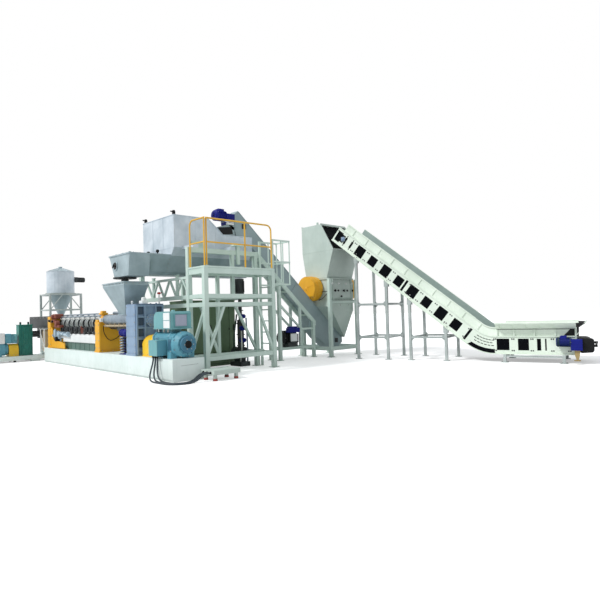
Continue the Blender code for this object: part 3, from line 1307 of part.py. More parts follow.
def s2_base_cuts(bm):
    y0 = S2_MOTOR_Y[0] + 0.1
    box(bm, (S2_X - 0.3, y0, -0.1), (S2_X + 0.3, 2.3, 0.12))
    box(bm, (S2_X - 1.0, y0 + 0.05, -0.1), (S2_X + 1.0, -0.2, 0.06))
    box(bm, (S2_X - 1.0, 0.1, -0.1), (S2_X + 1.0, 2.2, 0.06))
    rod(bm, (S2_X, 0.7, S2_Z), (S2_X, 2.6, S2_Z), 0.15 + GAP, 14)
    box(bm, (S2_X - 0.3, 0.0, S2_Z - 0.16 - GAP), (S2_X + 0.3, 0.65, 1.3))


node("second_base", WHITE_GREEN, s2_base, s2_base_cuts)


def s2_motor(bm):
    z0 = S2_BASE_H + GAP
    z = z0 + 0.24
    y0, y1 = S2_MOTOR_Y
    prism(bm, [(S2_X + p[0] - z, p[1]) for p in octagon(z, z, 0.2, 0.06)], y0 + 0.04, y1 - 0.1, "xz")
    rod(bm, (S2_X, y1 - 0.11, z), (S2_X, y1, z), 0.19, 16)
    rod(bm, (S2_X, y0, z), (S2_X, y0 + 0.05, z), 0.17, 14)
    for y in (y0 + 0.12, y1 - 0.36):
        box(bm, (S2_X - 0.22, y, z0), (S2_X + 0.22, y + 0.16, z - 0.06))
    box(bm, (S2_X - 0.2, y0 + 0.15, z + 0.19), (S2_X + 0.2, y0 + 0.7, z + 0.46))


node("second_motor", TEAL, s2_motor, smooth=30)


def s2_guard(bm):
    z0 = S2_BASE_H + GAP
    prof = [(S2_X - 0.2, z0)] + [(S2_X + p[0], p[1]) for p in arc(0.0, z0 + 0.22, 0.2, 180, 0, 8)]
    prof += [(S2_X + 0.2, z0)]
    prism(bm, prof, S2_GUARD_Y[0], S2_GUARD_Y[1], "xz")


node("second_coupling_guard", YELLOW, s2_guard, smooth=30)


def s2_gearbox(bm):
    z0 = S2_BASE_H + GAP
    (y0, y1) = S2_CASE_Y
    box(bm, (S2_X - 0.16, y0, z0), (S2_X + 0.16, y1, 1.24))
    box(bm, (S2_X - 0.19, y0 + 0.08, z0), (S2_X + 0.19, y1 - 0.08, 1.19))
    for y in (y0 + 0.09, y1 - 0.09):
        rod(bm, (S2_X, y, 1.23), (S2_X, y, 1.30), 0.03, 10)


node("second_gearbox", DARK_TEAL, s2_gearbox, smooth=30)


def s2_barrel(bm):
    z = S2_Z
    rod(bm, (S2_X, S2_CASE_Y[1] + GAP, z), (S2_X, 2.3, z), 0.11, 14)
    for i in range(4):
        y = 0.75 + i * 0.38
        rod(bm, (S2_X, y, z), (S2_X, y + 0.28, z), 0.15, 14)
    rod(bm, (S2_X, 2.28, z), (S2_X, 2.62, z), 0.2, 16)
    box(bm, (S2_X - 0.2, 0.17, z - 0.16), (S2_X + 0.2, 0.61, HOOD_Z[0] - GAP))


node("second_barrel", CAST, s2_barrel, smooth=30)


def transfer_hood(bm):
    box(bm, (HOOD_X[0], 0.15, HOOD_Z[0]), (HOOD_X[1], 0.63, HOOD_Z[1]))
    box(bm, (HOOD_X[0] - 0.02, 0.13, HOOD_Z[0] + 0.02), (HOOD_X[1] - 0.02, 0.65, HOOD_Z[0] + 0.05))


node("transfer_hood", CAST, transfer_hood)


def die_adapter(bm):
    rod(bm, (HOOD_X[1] + GAP, AXIS_Y, BARREL_Z), (BARREL_END - GAP, AXIS_Y, BARREL_Z), 0.2, 24)


node("screen_changer", CAST, die_adapter, smooth=30)


# Cyclone silo behind the die end
CY = (-11.35, 1.45)
CY_R = 0.50
CY_RING = 2.43
CONE_R = CY_R - 0.03


def cyclone_body(bm):
    rod(bm, (CY[0], CY[1], CY_RING + GAP), (CY[0], CY[1], 3.28), CY_R, 24)


def cyclone_body_cuts(bm):
    rod(bm, (CY[0], CY[1], 2.3), (CY[0], CY[1], 3.4), CY_R - SHEET, 24)


node("cyclone_shell", STEEL, cyclone_body, cyclone_body_cuts, smooth=30)


def cyclone_roof(bm):
    rod(bm, (CY[0], CY[1], 3.28 + GAP), (CY[0], CY[1], 3.43), CY_R + 0.01, 24, r2=0.06)
    rod(bm, (CY[0], CY[1], 3.40), (CY[0], CY[1], 3.48), 0.07, 14)


node("cyclone_roof", STEEL, cyclone_roof, smooth=30)


def cyclone_cone(bm):
    rod(bm, (CY[0], CY[1], 1.55), (CY[0], CY[1], CY_RING), 0.09, 24, r2=CONE_R)
    rod(bm, (CY[0], CY[1], 1.30), (CY[0], CY[1], 1.56), 0.09, 24)


def cyclone_cone_cuts(bm):
    rod(bm, (CY[0], CY[1], 1.55), (CY[0], CY[1], CY_RING + 0.0004), 0.07, 24, r2=CONE_R - 0.02)
    rod(bm, (CY[0], CY[1], 1.20), (CY[0], CY[1], 1.56), 0.07, 24)


node("cyclone_cone", STEEL, cyclone_cone, cyclone_cone_cuts, smooth=30)

STAND_HALF = CY_R + 0.07
STAND_TIE = 1.75


def cyclone_stand(bm):
    s = STAND_HALF
    zt = CY_RING - 0.03
    for i in (-1, 1):
        for j in (-1, 1):
            x, y = CY[0] + i * s, CY[1] + j * s
            box(bm, (x - 0.035, y - 0.035, 0.0), (x + 0.035, y + 0.035, zt))
            box(bm, (x - 0.08, y - 0.08, 0.0), (x + 0.08, y + 0.08, 0.012))
            beam(bm, (x, y, STAND_TIE + 0.02), (x, y - j * 0.45, zt - 0.04), 0.03, 0.03)
    for z in (zt - 0.06, STAND_TIE):
        for i in (-1, 1):
            box(bm, (CY[0] - s, CY[1] + i * s - 0.025, z), (CY[0] + s, CY[1] + i * s + 0.025, z + 0.05))
            box(bm, (CY[0] + i * s - 0.025, CY[1] - s, z), (CY[0] + i * s + 0.025, CY[1] + s, z + 0.05))
    # ring that carries the silo
    rod(bm, (CY[0], CY[1], zt), (CY[0], CY[1], CY_RING), CY_R + 0.05, 24)
    for i in (-1, 1):
        w = CY[1] + i * (CY_R - 0.01)
        box(bm, (CY[0] - s, w - 0.03, zt - 0.04), (CY[0] + s, w + 0.03, zt + 0.01))


node("cyclone_stand", GALV, cyclone_stand,
     lambda bm: rod(bm, (CY[0], CY[1], 2.2), (CY[0], CY[1], 2.6), CONE_R + GAP, 24))


def cyclone_fan(bm):
    y = CY[1] + CY_R + GAP
    z = 2.98
    rod(bm, (CY[0], y + 0.02, z), (CY[0], y + 0.42, z), 0.09, 12)
    box(bm, (CY[0] - 0.1, CY[1] + CY_R - 0.04, z - 0.1), (CY[0] + 0.1, y + 0.14, z + 0.1))


node("cyclone_motor", CAST, cyclone_fan,
     lambda bm: rod(bm, (CY[0], CY[1], 2.7), (CY[0], CY[1], 3.25), CY_R + GAP, 24), smooth=30)


# Cable tray on the floor
TRAY_X = (0.12, 0.62)
TRAY_Y = (0.62, 1.30)
TRAY_Z = (0.13, 0.22)


def cable_tray(bm):
    box(bm, (TRAY_X[0], TRAY_Y[0], TRAY_Z[0]), (TRAY_X[1], TRAY_Y[1], TRAY_Z[1]))
    for x in (TRAY_X[0] + 0.04, TRAY_X[1] - 0.10):
        for y in (TRAY_Y[0] + 0.04, TRAY_Y[1] - 0.10):
            box(bm, (x, y, 0.0), (x + 0.06, y + 0.06, TRAY_Z[0] + 0.01))


node("cable_tray", SAGE, cable_tray)


# Motor cables from the terminal box over the floor into the tray
CABLE_D = 0.036
CABLE_LANE = 0.07
CABLE_TURN = 0.35


def cable_points(k):
    """Points the middle of cable k passes through; lane 0 lies outermost."""
    x = TERMINAL_X[0] + 0.08 + 0.10 * k
    y = (TERMINAL_Y[0] + 0.0) * 0.5
    far = -0.28 + CABLE_LANE * k
    run = far - y
    low = CABLE_D / 2.0 + 0.001
    drop = ((0.0, 0.0, TERMINAL_Z[0] - GAP), (0.0, 0.0, 0.46), (0.01, 0.10, 0.36), (0.04, 0.34, 0.24),
            (0.11, 0.62, 0.13), (0.22, 0.85, 0.055), (0.36, 0.97, low + 0.006), (0.50, 1.0, low))
    pts = [(x + a, y + run * b, z) for a, b, z in drop]
    turn = CABLE_TURN - CABLE_LANE * k
    cx, cy = 0.14, far + turn
    pts.append(((pts[-1][0] + cx) / 2.0, far, low))
    for a, b in arc(cx, cy, turn, -90, 0, 4):
        pts.append((a, b, low))
    x = cx + turn
    end = TRAY_Y[0] - GAP
    z = (TRAY_Z[0] + TRAY_Z[1]) / 2.0
    for d, f in ((0.46, 0.02), (0.34, 0.22), (0.21, 0.80), (0.11, 1.0), (0.0, 1.0)):
        pts.append((x, end - d, low + (z - low) * f))
    return pts


def smooth_route(pts, step):
    """Points at even steps along a smooth curve through pts."""
    p = [Vector(q) for q in pts]
    p = [p[0] * 2.0 - p[1]] + p + [p[-1] * 2.0 - p[-2]]
    fine = []
    for a, b, c, d in zip(p, p[1:], p[2:], p[3:]):
        for i in range(12):
            t = i / 12.0
            fine.append(0.5 * (2.0 * b + (c - a) * t + (2.0 * a - 5.0 * b + 4.0 * c - d) * t * t
                               + (3.0 * b - a - 3.0 * c + d) * t * t * t))
    fine.append(p[-2])
    total = sum((b - a).length for a, b in zip(fine, fine[1:]))
    count = max(2, round(total / step))
    out = [fine[0]]
    gone = 0.0
    for a, b in zip(fine, fine[1:]):
        span = (b - a).length
        while len(out) < count and gone + span >= total * len(out) / count:
            out.append(a.lerp(b, (total * len(out) / count - gone) / span))
        gone += span
    out.append(fine[-1])
    # both ends leave square to the faces they meet
    out[1] = out[0] + (p[2] - p[1]).normalized() * (out[1] - out[0]).length
    out[-2] = out[-1] + (p[-3] - p[-2]).normalized() * (out[-2] - out[-1]).length
    for q in out:
        q.z = max(q.z, CABLE_D / 2.0 + 0.0005)
    return out


def cable(name, pts):
    curve = bpy.data.curves.new(name, "CURVE")
    curve.dimensions = "3D"
    curve.bevel_depth = CABLE_D / 2.0
    curve.bevel_resolution = 2
    curve.use_fill_caps = True
    spline = curve.splines.new("POLY")
    route = smooth_route(pts, 2.5 * CABLE_D)
    spline.points.add(len(route) - 1)
    for spot, q in zip(spline.points, route):
        spot.co = (q.x, q.y, q.z, 1.0)
    curve.materials.append(CABLE)
    ob = bpy.data.objects.new(name, curve)
    bpy.context.collection.objects.link(ob)
    ob.location = CORNER


for lane_number in range(3):
    cable("motor_cable_%d" % (lane_number + 1), cable_points(lane_number))
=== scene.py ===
# %% [markdown]
# A plastic pelletizing line, dressed for its portrait
#
# The line comes in as finished solids in real metres. This lesson gives it a camera, daylight,
# paint, sheet steel and all the small parts that a plant fitter would bolt on.

# %% Load the fixed frame
import math
import random
from itertools import product
import bpy
import bmesh
from mathutils import Matrix, Vector


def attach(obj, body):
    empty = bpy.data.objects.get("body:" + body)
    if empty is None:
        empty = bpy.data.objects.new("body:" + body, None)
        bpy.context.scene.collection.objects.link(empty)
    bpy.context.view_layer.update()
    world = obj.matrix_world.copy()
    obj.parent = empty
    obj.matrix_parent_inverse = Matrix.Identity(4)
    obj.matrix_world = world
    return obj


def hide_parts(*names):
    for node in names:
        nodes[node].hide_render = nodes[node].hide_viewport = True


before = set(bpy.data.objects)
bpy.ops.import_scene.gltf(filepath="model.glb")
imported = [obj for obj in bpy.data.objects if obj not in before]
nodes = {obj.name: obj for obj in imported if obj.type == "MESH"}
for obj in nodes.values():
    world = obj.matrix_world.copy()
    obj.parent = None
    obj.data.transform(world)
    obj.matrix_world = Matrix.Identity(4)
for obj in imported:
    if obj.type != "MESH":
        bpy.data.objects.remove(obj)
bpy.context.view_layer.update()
scene = bpy.context.scene
print("solids loaded:", len(nodes))

# %% [markdown]
# Two coordinate helps
#
# The solids were drawn from one corner of the extruder base, so every place below is written from
# that corner too, and LINE turns such a place into scene metres. The infeed conveyor stands
# turned to the rest of the line; CONV does the same for its own u, v and z.

# %% Places in the line
CORNER = Vector((4.275, -0.39, 0.0))
YAW = math.radians(15.6)
LINE = Matrix.Translation(CORNER)
CONV = LINE @ Matrix.Rotation(YAW, 4, "Z") @ Matrix.Translation((0.0, 6.40, 0.0))
RIGHT = (1.0, 0.0, 0.0)
BACK, FRONT = (0.0, 1.0, 0.0), (0.0, -1.0, 0.0)
UP, DOWN = (0.0, 0.0, 1.0), (0.0, 0.0, -1.0)
BOTH = (-1.0, 1.0)
print("the infeed conveyor is turned by", round(math.degrees(YAW), 1), "degrees")

# %% [markdown]
# The camera
#
# The photograph was taken by a person standing off the motor end of the extruder, with a wide
# lens held almost level. Lens, place and the slight roll were worked out from the straight edges.

# %% Camera
CAM_PLACE = LINE @ Vector((9.55, -5.28, 1.40))
CAM_TURN = math.radians(46.64)
CAM_LIFT = math.radians(1.42)
CAM_ROLL = math.radians(1.68)
LENS_MM, SENSOR_MM = 30.07, 36.0
forward = Vector((-math.sin(CAM_TURN) * math.cos(CAM_LIFT),
                  math.cos(CAM_TURN) * math.cos(CAM_LIFT), math.sin(CAM_LIFT)))
level = forward.cross(Vector(UP)).normalized()
down = forward.cross(level)
cam_x = math.cos(CAM_ROLL) * level + math.sin(CAM_ROLL) * down
cam_y = math.sin(CAM_ROLL) * level - math.cos(CAM_ROLL) * down
cam_data = bpy.data.cameras.new("camera")
cam_data.lens = LENS_MM
cam_data.sensor_width = SENSOR_MM
cam_data.clip_end = 400.0
camera = bpy.data.objects.new("camera", cam_data)
camera.matrix_world = Matrix.Translation(CAM_PLACE) @ Matrix((cam_x, cam_y, -forward)).transposed().to_4x4()
scene.collection.objects.link(camera)
scene.camera = camera
print("camera stands at", [round(c, 2) for c in CAM_PLACE])

# %% [markdown]
# Node and colour helpers
#
# Paint makers name a colour in sRGB, the renderer works in linear light, so one function turns
# the one into the other. One more adds a shader node with its settings and links in one line.
# Every finish ends alike, in a bump, a skin and an output, so they are made in one place.

# %% Shader helpers
def linear(code):
    """Linear colour of an sRGB hex value such as "E6F2E4"."""
    out = []
    for i in (0, 2, 4):
        c = int(code[i:i + 2], 16) / 255.0
        out.append(c / 12.92 if c <= 0.04045 else ((c + 0.055) / 1.055) ** 2.4)
    return (*out, 1.0)


def add(tree, kind, settings=None, links=None):
    """One shader node: settings by attribute or input name, links as input: output socket."""
    n = tree.nodes.new(kind)
    for key, value in (settings or {}).items():
        if isinstance(key, str) and hasattr(n, key) and key not in n.inputs:
            setattr(n, key, value)
        else:
            n.inputs[key].default_value = value
    for key, source in (links or {}).items():
        tree.links.new(source, n.inputs[key])
    return n


def new_material(name):
    """An empty node material, its tree and the place of each point on the piece."""
    mat = bpy.data.materials.new(name)
    mat.use_nodes = True
    mat.node_tree.nodes.clear()
    return mat, mat.node_tree, add(mat.node_tree, "ShaderNodeTexCoord").outputs["Object"]


def close_material(tree, tone, rough, height, strength, distance, settings):
    """Bump, shader and output that end every finish."""
    bump = add(tree, "ShaderNodeBump", {"Strength": strength, "Distance": distance}, {"Height": height})
    skin = add(tree, "ShaderNodeBsdfPrincipled", settings,
               {"Base Color": tone.outputs[2], "Roughness": rough.outputs[0], "Normal": bump.outputs[0]})
    add(tree, "ShaderNodeOutputMaterial", {}, {"Surface": skin.outputs[0]})


# %% [markdown]
# Painted steel
#
# Machine paint is sprayed on plate and section steel. It is never one even colour: it shifts a
# little from panel to panel, thins and greys where hands and forklifts touch it, and gathers
# dust close to the floor. Under a raking light its skin shows a fine orange peel. A soft large
# noise gives the shift, a second one the worn patches, one stretched upright the rain streaks,
# height above the floor the dust, and a fine noise the peel. The peel is drawn about 6 mm wide,
# coarser than the real one, so that it shows at all.

# %% Painted steel finishes
DUST_COLOUR, DUST_TOP = "9C968A", 0.28


def painted(name, colour, worn, gloss=0.42, peel=0.05, dust=0.35, shine=0.5):
    """Sprayed machine paint with soft shifts, worn patches, floor dust and orange peel."""
    mat, tree, place = new_material(name)
    shift = add(tree, "ShaderNodeTexNoise", {"Scale": 1.7, "Detail": 4.0, "Roughness": 0.6},
                {"Vector": place}).outputs["Fac"]
    patch = add(tree, "ShaderNodeTexNoise", {"Scale": 9.0, "Detail": 7.0, "Roughness": 0.68},
                {"Vector": place}).outputs["Fac"]
    streaks = add(tree, "ShaderNodeMapping", {"Scale": (14.0, 14.0, 1.2)}, {"Vector": place})
    runs = add(tree, "ShaderNodeTexNoise", {"Scale": 1.0, "Detail": 3.0}, {"Vector": streaks.outputs[0]})
    shares = []
    for value, low, high, most in ((shift, 0.35, 0.65, 0.30), (patch, 0.60, 0.78, 0.55),
                                   (runs.outputs["Fac"], 0.52, 0.75, 0.12)):
        limits = {"From Min": low, "From Max": high, "To Min": 0.0, "To Max": most}
        shares.append(add(tree, "ShaderNodeMapRange", limits, {"Value": value}).outputs[0])
    both = add(tree, "ShaderNodeMath", {"operation": "MAXIMUM"}, {0: shares[1], 1: shares[2]})
    height = add(tree, "ShaderNodeSeparateXYZ", {}, {"Vector": place})
    limits = {"From Min": 0.0, "From Max": DUST_TOP, "To Min": dust, "To Max": 0.0}
    near_floor = add(tree, "ShaderNodeMapRange", limits, {"Value": height.outputs["Z"]})
    dusty = add(tree, "ShaderNodeMath", {"operation": "MULTIPLY"}, {0: near_floor.outputs[0], 1: patch})
    soft = add(tree, "ShaderNodeMix", {"data_type": "RGBA", 6: linear(colour), 7: linear(worn)},
               {0: shares[0]})
    used = add(tree, "ShaderNodeMix", {"data_type": "RGBA", 7: linear(worn)},
               {6: soft.outputs[2], 0: both.outputs[0]})
    tone = add(tree, "ShaderNodeMix", {"data_type": "RGBA", 7: linear(DUST_COLOUR)},
               {6: used.outputs[2], 0: dusty.outputs[0]})
    rough = add(tree, "ShaderNodeMapRange", {"From Min": 0.3, "From Max": 0.7, "To Min": gloss - 0.07,
                                             "To Max": gloss + 0.13}, {"Value": patch})
    fine = add(tree, "ShaderNodeTexNoise", {"Scale": 160.0, "Detail": 2.0}, {"Vector": place})
    close_material(tree, tone, rough, fine.outputs["Fac"], peel, 0.002, {"Specular IOR Level": shine})
    return mat


base_paint = painted("mint_white_base_paint", "E9F4F1", "BFD2CB")
frame_paint = painted("mint_grey_frame_paint", "D3E5DC", "9FB8AB")
infeed_paint = painted("pale_lime_white_paint", "EDF7EA", "B9CDB9")
mill_paint = painted("sage_green_mill_paint", "C8D6CE", "97AAA1")
guard_paint = painted("amber_guard_paint", "F2B426", "C4841A")
rail_paint = painted("golden_handrail_paint", "EDBA3C", "C08A24")
cover_paint = painted("lemon_yellow_guard_paint", "F8CC2E", "C29A20")
gear_paint = painted("steel_blue_gearbox_paint", "8CA5BF", "5B7188")
motor_paint = painted("turquoise_motor_paint", "5FA0B2", "3C7484")
blower_paint = painted("sea_green_blower_paint", "74AEB2", "47828A")
second_gear_paint = painted("deep_teal_gearbox_paint", "1E7D70", "12554D")
cabinet_paint = painted("moss_green_cabinet_paint", "66805F", "475F48")
navy_paint = painted("navy_blue_motor_paint", "141E84", "0C1248", 0.45, shine=0.2)
dark_motor_paint = painted("blackened_blue_motor_paint", "1C3246", "12222F", 0.45, shine=0.2)
casing_paint = painted("blue_grey_casing_paint", "9DAFB2", "72868B")
white_paint = painted("white_fitting_enamel", "F1F3F2", "C4C8C7", 0.35)
red_paint = painted("signal_red_enamel", "B33026", "7C1F18", 0.35)
rust_paint = painted("red_oxide_primer", "8A4A3A", "5C3026", 0.6)
tan_paint = painted("tan_bracket_paint", "A8925F", "7C6A44")
# Darker copy of the infeed paint for the far skirt: painted shade on its inner side.
shaded_skirt_paint = painted("shaded_grey_green_skirt_paint", "A9BDB6", "859A92")
print("paints mixed:", len(bpy.data.materials))

# %% [markdown]
# Sheet steel, zinc and cast iron
#
# The bin and the hoppers are rolled stainless sheet. Rolling leaves long fine lines that smear a
# reflection one way, and welding heat leaves slow clouds in the sheen. The lines come from a
# noise squeezed across the rolling direction, the clouds from a large one in the colour. Zinc
# spangle and the skin of cast iron are the same pattern with an even, coarser grain.

# %% Bare metal finishes
def sheet_steel(name, colour, dark, metal, rough_low, rough_high, lines=(1.5, 1.5, 140.0), depth=0.10):
    """Rolled sheet: fine lines one way, slow clouds in colour."""
    mat, tree, place = new_material(name)
    cloud = add(tree, "ShaderNodeTexNoise", {"Scale": 2.3, "Detail": 5.0, "Roughness": 0.55},
                {"Vector": place})
    squeeze = add(tree, "ShaderNodeMapping", {"Scale": lines}, {"Vector": place})
    roll = add(tree, "ShaderNodeTexNoise", {"Scale": 1.0, "Detail": 6.0, "Roughness": 0.7},
               {"Vector": squeeze.outputs[0]}).outputs["Fac"]
    limits = {"From Min": 0.35, "From Max": 0.68, "To Min": 0.0, "To Max": 0.75}
    share = add(tree, "ShaderNodeMapRange", limits, {"Value": cloud.outputs["Fac"]})
    tone = add(tree, "ShaderNodeMix", {"data_type": "RGBA", 6: linear(colour), 7: linear(dark)},
               {0: share.outputs[0]})
    rough = add(tree, "ShaderNodeMapRange", {"From Min": 0.3, "From Max": 0.7, "To Min": rough_low,
                                             "To Max": rough_high}, {"Value": roll})
    close_material(tree, tone, rough, roll, depth, 0.001, {"Metallic": metal})
    return mat


bin_steel = sheet_steel("rolled_stainless_sheet", "D6E0E8", "ACBBC5", 0.25, 0.30, 0.52)
hopper_steel = sheet_steel("folded_hopper_sheet", "ABBDC3", "82959A", 0.22, 0.34, 0.55)
band_steel = sheet_steel("mica_heater_band_steel", "B9C0BE", "8A8F8C", 0.45, 0.30, 0.55, (60.0, 2.0, 2.0))
bolt_steel = sheet_steel("zinc_plated_bolt_steel", "B9BCB8", "8B8C84", 0.85, 0.28, 0.45, (40.0, 40.0, 40.0))
galvanised = sheet_steel("spangled_galvanised_steel", "C3CBC9", "98A3A1", 0.55, 0.35, 0.60, (9.0, 9.0, 9.0),
                         0.05)
dark_iron = sheet_steel("oiled_dark_cast_iron", "4A4D4E", "2B2D2E", 0.45, 0.40, 0.65, (55.0, 55.0, 55.0),
                        0.30)
pipe_steel = sheet_steel("lagged_pipe_foil", "9AA7B2", "6F7F8C", 0.45, 0.25, 0.5, (3.0, 90.0, 90.0), 0.25)
print("metals and paints:", len(bpy.data.materials))

# %% [markdown]
# Rubber and other dark stuff
#
# Belts and flaps are filled rubber: nearly black, greyed by plastic dust that settles in their
# fine grain. Dark openings are inside surfaces that no light reaches; they still get a little
# unevenness so that they don't read as holes in the picture.

# %% Rubber finishes
def rubbery(name, colour, dusted, rough, grain, depth, shine=0.5):
    """Filled rubber or moulded plastic with settled dust and a fine grain; also painted shade of insides."""
    mat, tree, place = new_material(name)
    dust = add(tree, "ShaderNodeTexNoise", {"Scale": 5.0, "Detail": 6.0, "Roughness": 0.65},
               {"Vector": place}).outputs["Fac"]
    fine = add(tree, "ShaderNodeTexNoise", {"Scale": grain, "Detail": 3.0}, {"Vector": place})
    limits = {"From Min": 0.48, "From Max": 0.75, "To Min": 0.0, "To Max": 0.7}
    share = add(tree, "ShaderNodeMapRange", limits, {"Value": dust})
    tone = add(tree, "ShaderNodeMix", {"data_type": "RGBA", 6: linear(colour), 7: linear(dusted)},
               {0: share.outputs[0]})
    uneven = add(tree, "ShaderNodeMapRange", {"From Min": 0.3, "From Max": 0.7, "To Min": rough - 0.1,
                                              "To Max": rough + 0.1}, {"Value": dust})
    close_material(tree, tone, uneven, fine.outputs["Fac"], depth, 0.002,
                   {"Sheen Weight": 0.04, "Specular IOR Level": shine})
    return mat


belt_rubber = rubbery("black_belt_rubber", "141516", "303130", 0.68, 220.0, 0.25, 0.25)
cable_rubber = rubbery("cable_sheath_rubber", "27333A", "47565E", 0.50, 300.0, 0.10)
# inner_dark is painted shade: near-black for inside surfaces that no light reaches.
inner_dark = rubbery("shaded_inner_surface", "04060A", "0C1118", 0.90, 60.0, 0.10, 0.08)
handle_plastic = rubbery("black_moulded_plastic", "0A0B0D", "16181B", 0.48, 400.0, 0.08, 0.25)
green_hose = rubbery("dark_green_hose_rubber", "233A2E", "35503F", 0.55, 200.0, 0.12)
beige_lagging = rubbery("beige_lagging_cloth", "B9A98C", "94866C", 0.85, 350.0, 0.35)
print("finishes in all:", len(bpy.data.materials))

# %% [markdown]
# Daylight
#
# A pale sky fills every shadow, and one soft sun stands to the left of the camera, so the faces
# along the line are bright and the faces towards the motor end stay in their own shade, as in
# the photograph. The background is white because the sky is white to the eye and to reflections,
# and only about half as strong to the surfaces it lights. The floor glows to the eye alone, so it
# reads as white and still keeps the shadow.

# %% Sky, sun and floor
FILL, SUN_POWER, FLOOR_GLOW = 0.57, 2.1, 0.40
SUN_FROM = Vector((-0.30, -0.80, 0.85))
FLOOR_REACH = 160.0
WHITE = (1.0, 1.0, 1.0, 1.0)
scene.view_settings.view_transform = "Standard"
world = bpy.data.worlds.new("sky")
world.use_nodes = True
scene.world = world
tree = world.node_tree
tree.nodes.clear()
path = add(tree, "ShaderNodeLightPath").outputs
seen = add(tree, "ShaderNodeMath", {"operation": "MAXIMUM"},
           {0: path["Is Camera Ray"], 1: path["Is Transmission Ray"]})
either = add(tree, "ShaderNodeMath", {"operation": "MAXIMUM"}, {0: seen.outputs[0], 1: path["Is Glossy Ray"]})
fill = add(tree, "ShaderNodeBackground", {"Color": (0.93, 0.97, 1.0, 1.0), "Strength": FILL})
white = add(tree, "ShaderNodeBackground", {"Color": WHITE, "Strength": 1.0})
mix = add(tree, "ShaderNodeMixShader", {}, {0: either.outputs[0], 1: fill.outputs[0], 2: white.outputs[0]})
add(tree, "ShaderNodeOutputWorld", {}, {"Surface": mix.outputs[0]})

sun_data = bpy.data.lights.new("sun", "SUN")
sun_data.energy = SUN_POWER
sun_data.angle = math.radians(10.0)
sun = bpy.data.objects.new("sun", sun_data)
sun.rotation_euler = SUN_FROM.to_track_quat("Z", "Y").to_euler()
scene.collection.objects.link(sun)

floor_mesh = bpy.data.meshes.new("floor")
flat = bmesh.new()
bmesh.ops.create_grid(flat, x_segments=1, y_segments=1, size=FLOOR_REACH)
flat.to_mesh(floor_mesh)
flat.free()
floor = bpy.data.objects.new("floor", floor_mesh)
scene.collection.objects.link(floor)
floor_mat, tree = new_material("white_studio_floor")[:2]
path = add(tree, "ShaderNodeLightPath").outputs
matt = add(tree, "ShaderNodeBsdfDiffuse", {"Color": (0.86, 0.86, 0.86, 1.0)})
glow = add(tree, "ShaderNodeEmission", {"Color": WHITE, "Strength": FLOOR_GLOW})
lift = add(tree, "ShaderNodeAddShader", {}, {0: matt.outputs[0], 1: glow.outputs[0]})
mix = add(tree, "ShaderNodeMixShader", {}, {0: path["Is Camera Ray"], 1: matt.outputs[0], 2: lift.outputs[0]})
add(tree, "ShaderNodeOutputMaterial", {}, {"Surface": mix.outputs[0]})
floor_mesh.materials.append(floor_mat)

# %% [markdown]
# Workshop helpers
#
# Small parts of a machine are cut, turned and bent from a few stock shapes. One bmesh is the
# bench: each helper lays one shape on it, such as a block with broken edges, a bar turned between
# two points, a plate cut to an outline, or a bolt on its washer. finish_piece takes all that lies
# there as one piece. Its normals are made to point out, its place goes into the mesh, it rides on
# the line's one body, and the bench is clear again.

# %% Shape helpers
bench = bmesh.new()


def link_piece(name, data, mat):
    """Object that rides on the line and takes its finish from a slot of the record."""
    data.materials.append(mat)
    ob = bpy.data.objects.new(name, data)
    scene.collection.objects.link(ob)
    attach(ob, "root")
    print("made", name)
    return ob


def finish_piece(name, mat, place=LINE, smooth=35.0):
    """Piece made of all that lies on the bench."""
    bmesh.ops.recalc_face_normals(bench, faces=bench.faces)
    bmesh.ops.transform(bench, matrix=place, verts=bench.verts)
    mesh = bpy.data.meshes.new(name)
    bench.to_mesh(mesh)
    bench.clear()
    for poly in mesh.polygons:
        poly.use_smooth = True
    mesh.set_sharp_from_angle(angle=math.radians(smooth))
    return link_piece(name, mesh, mat)


def axis_turn(p, q):
    """Turn that carries local Z onto the way from p to q."""
    return (q - p).to_track_quat("Z", "Y").to_matrix().to_4x4()


def block(lo, hi, edge=0.004):
    """Block between two corners with its edges broken."""
    lo, hi = Vector(lo), Vector(hi)
    size = [abs(c) for c in hi - lo]
    made = bmesh.ops.create_cube(bench, size=1.0,
                                 matrix=Matrix.Translation((lo + hi) / 2.0) @ Matrix.Diagonal((*size, 1.0)))
    edge = min(edge, min(size) * 0.3)
    if edge > 0.0:
        edges = list({e for v in made["verts"] for e in v.link_edges})
        bmesh.ops.bevel(bench, geom=edges, offset=edge, segments=1, affect="EDGES", profile=0.5, material=-1)


def blocks(count, step, lo, hi, edge=0.004):
    """Row of like blocks, each moved on by step."""
    for k in range(count):
        move = Vector(step) * k
        block(Vector(lo) + move, Vector(hi) + move, edge)


def turned(p, q, r, n=16, r2=None, edge=0.003):
    """Bar turned between p and q, its rims broken."""
    p, q = Vector(p), Vector(q)
    spot = Matrix.Translation((p + q) / 2.0) @ axis_turn(p, q)
    made = bmesh.ops.create_cone(bench, cap_ends=True, segments=n, radius1=r, radius2=r if r2 is None else r2,
                                 depth=(q - p).length, matrix=spot)
    if edge > 0.0:
        rims = [e for e in {e for v in made["verts"] for e in v.link_edges}
                if any(len(f.verts) == n for f in e.link_faces)]
        bmesh.ops.bevel(bench, geom=rims, offset=edge, segments=1, affect="EDGES", profile=0.5, material=-1)


def stub(p, way, *more):
    """Bar turned from p as far as way says, with the sizes that turned takes."""
    turned(p, Vector(p) + Vector(way), *more)


def bar(p, q, w, h):
    """Square bar from p to q, w across and h deep."""
    p, q = Vector(p), Vector(q)
    size = Matrix.Diagonal((w, h, (q - p).length, 1.0))
    bmesh.ops.create_cube(bench, size=1.0, matrix=Matrix.Translation((p + q) / 2.0) @ axis_turn(p, q) @ size)


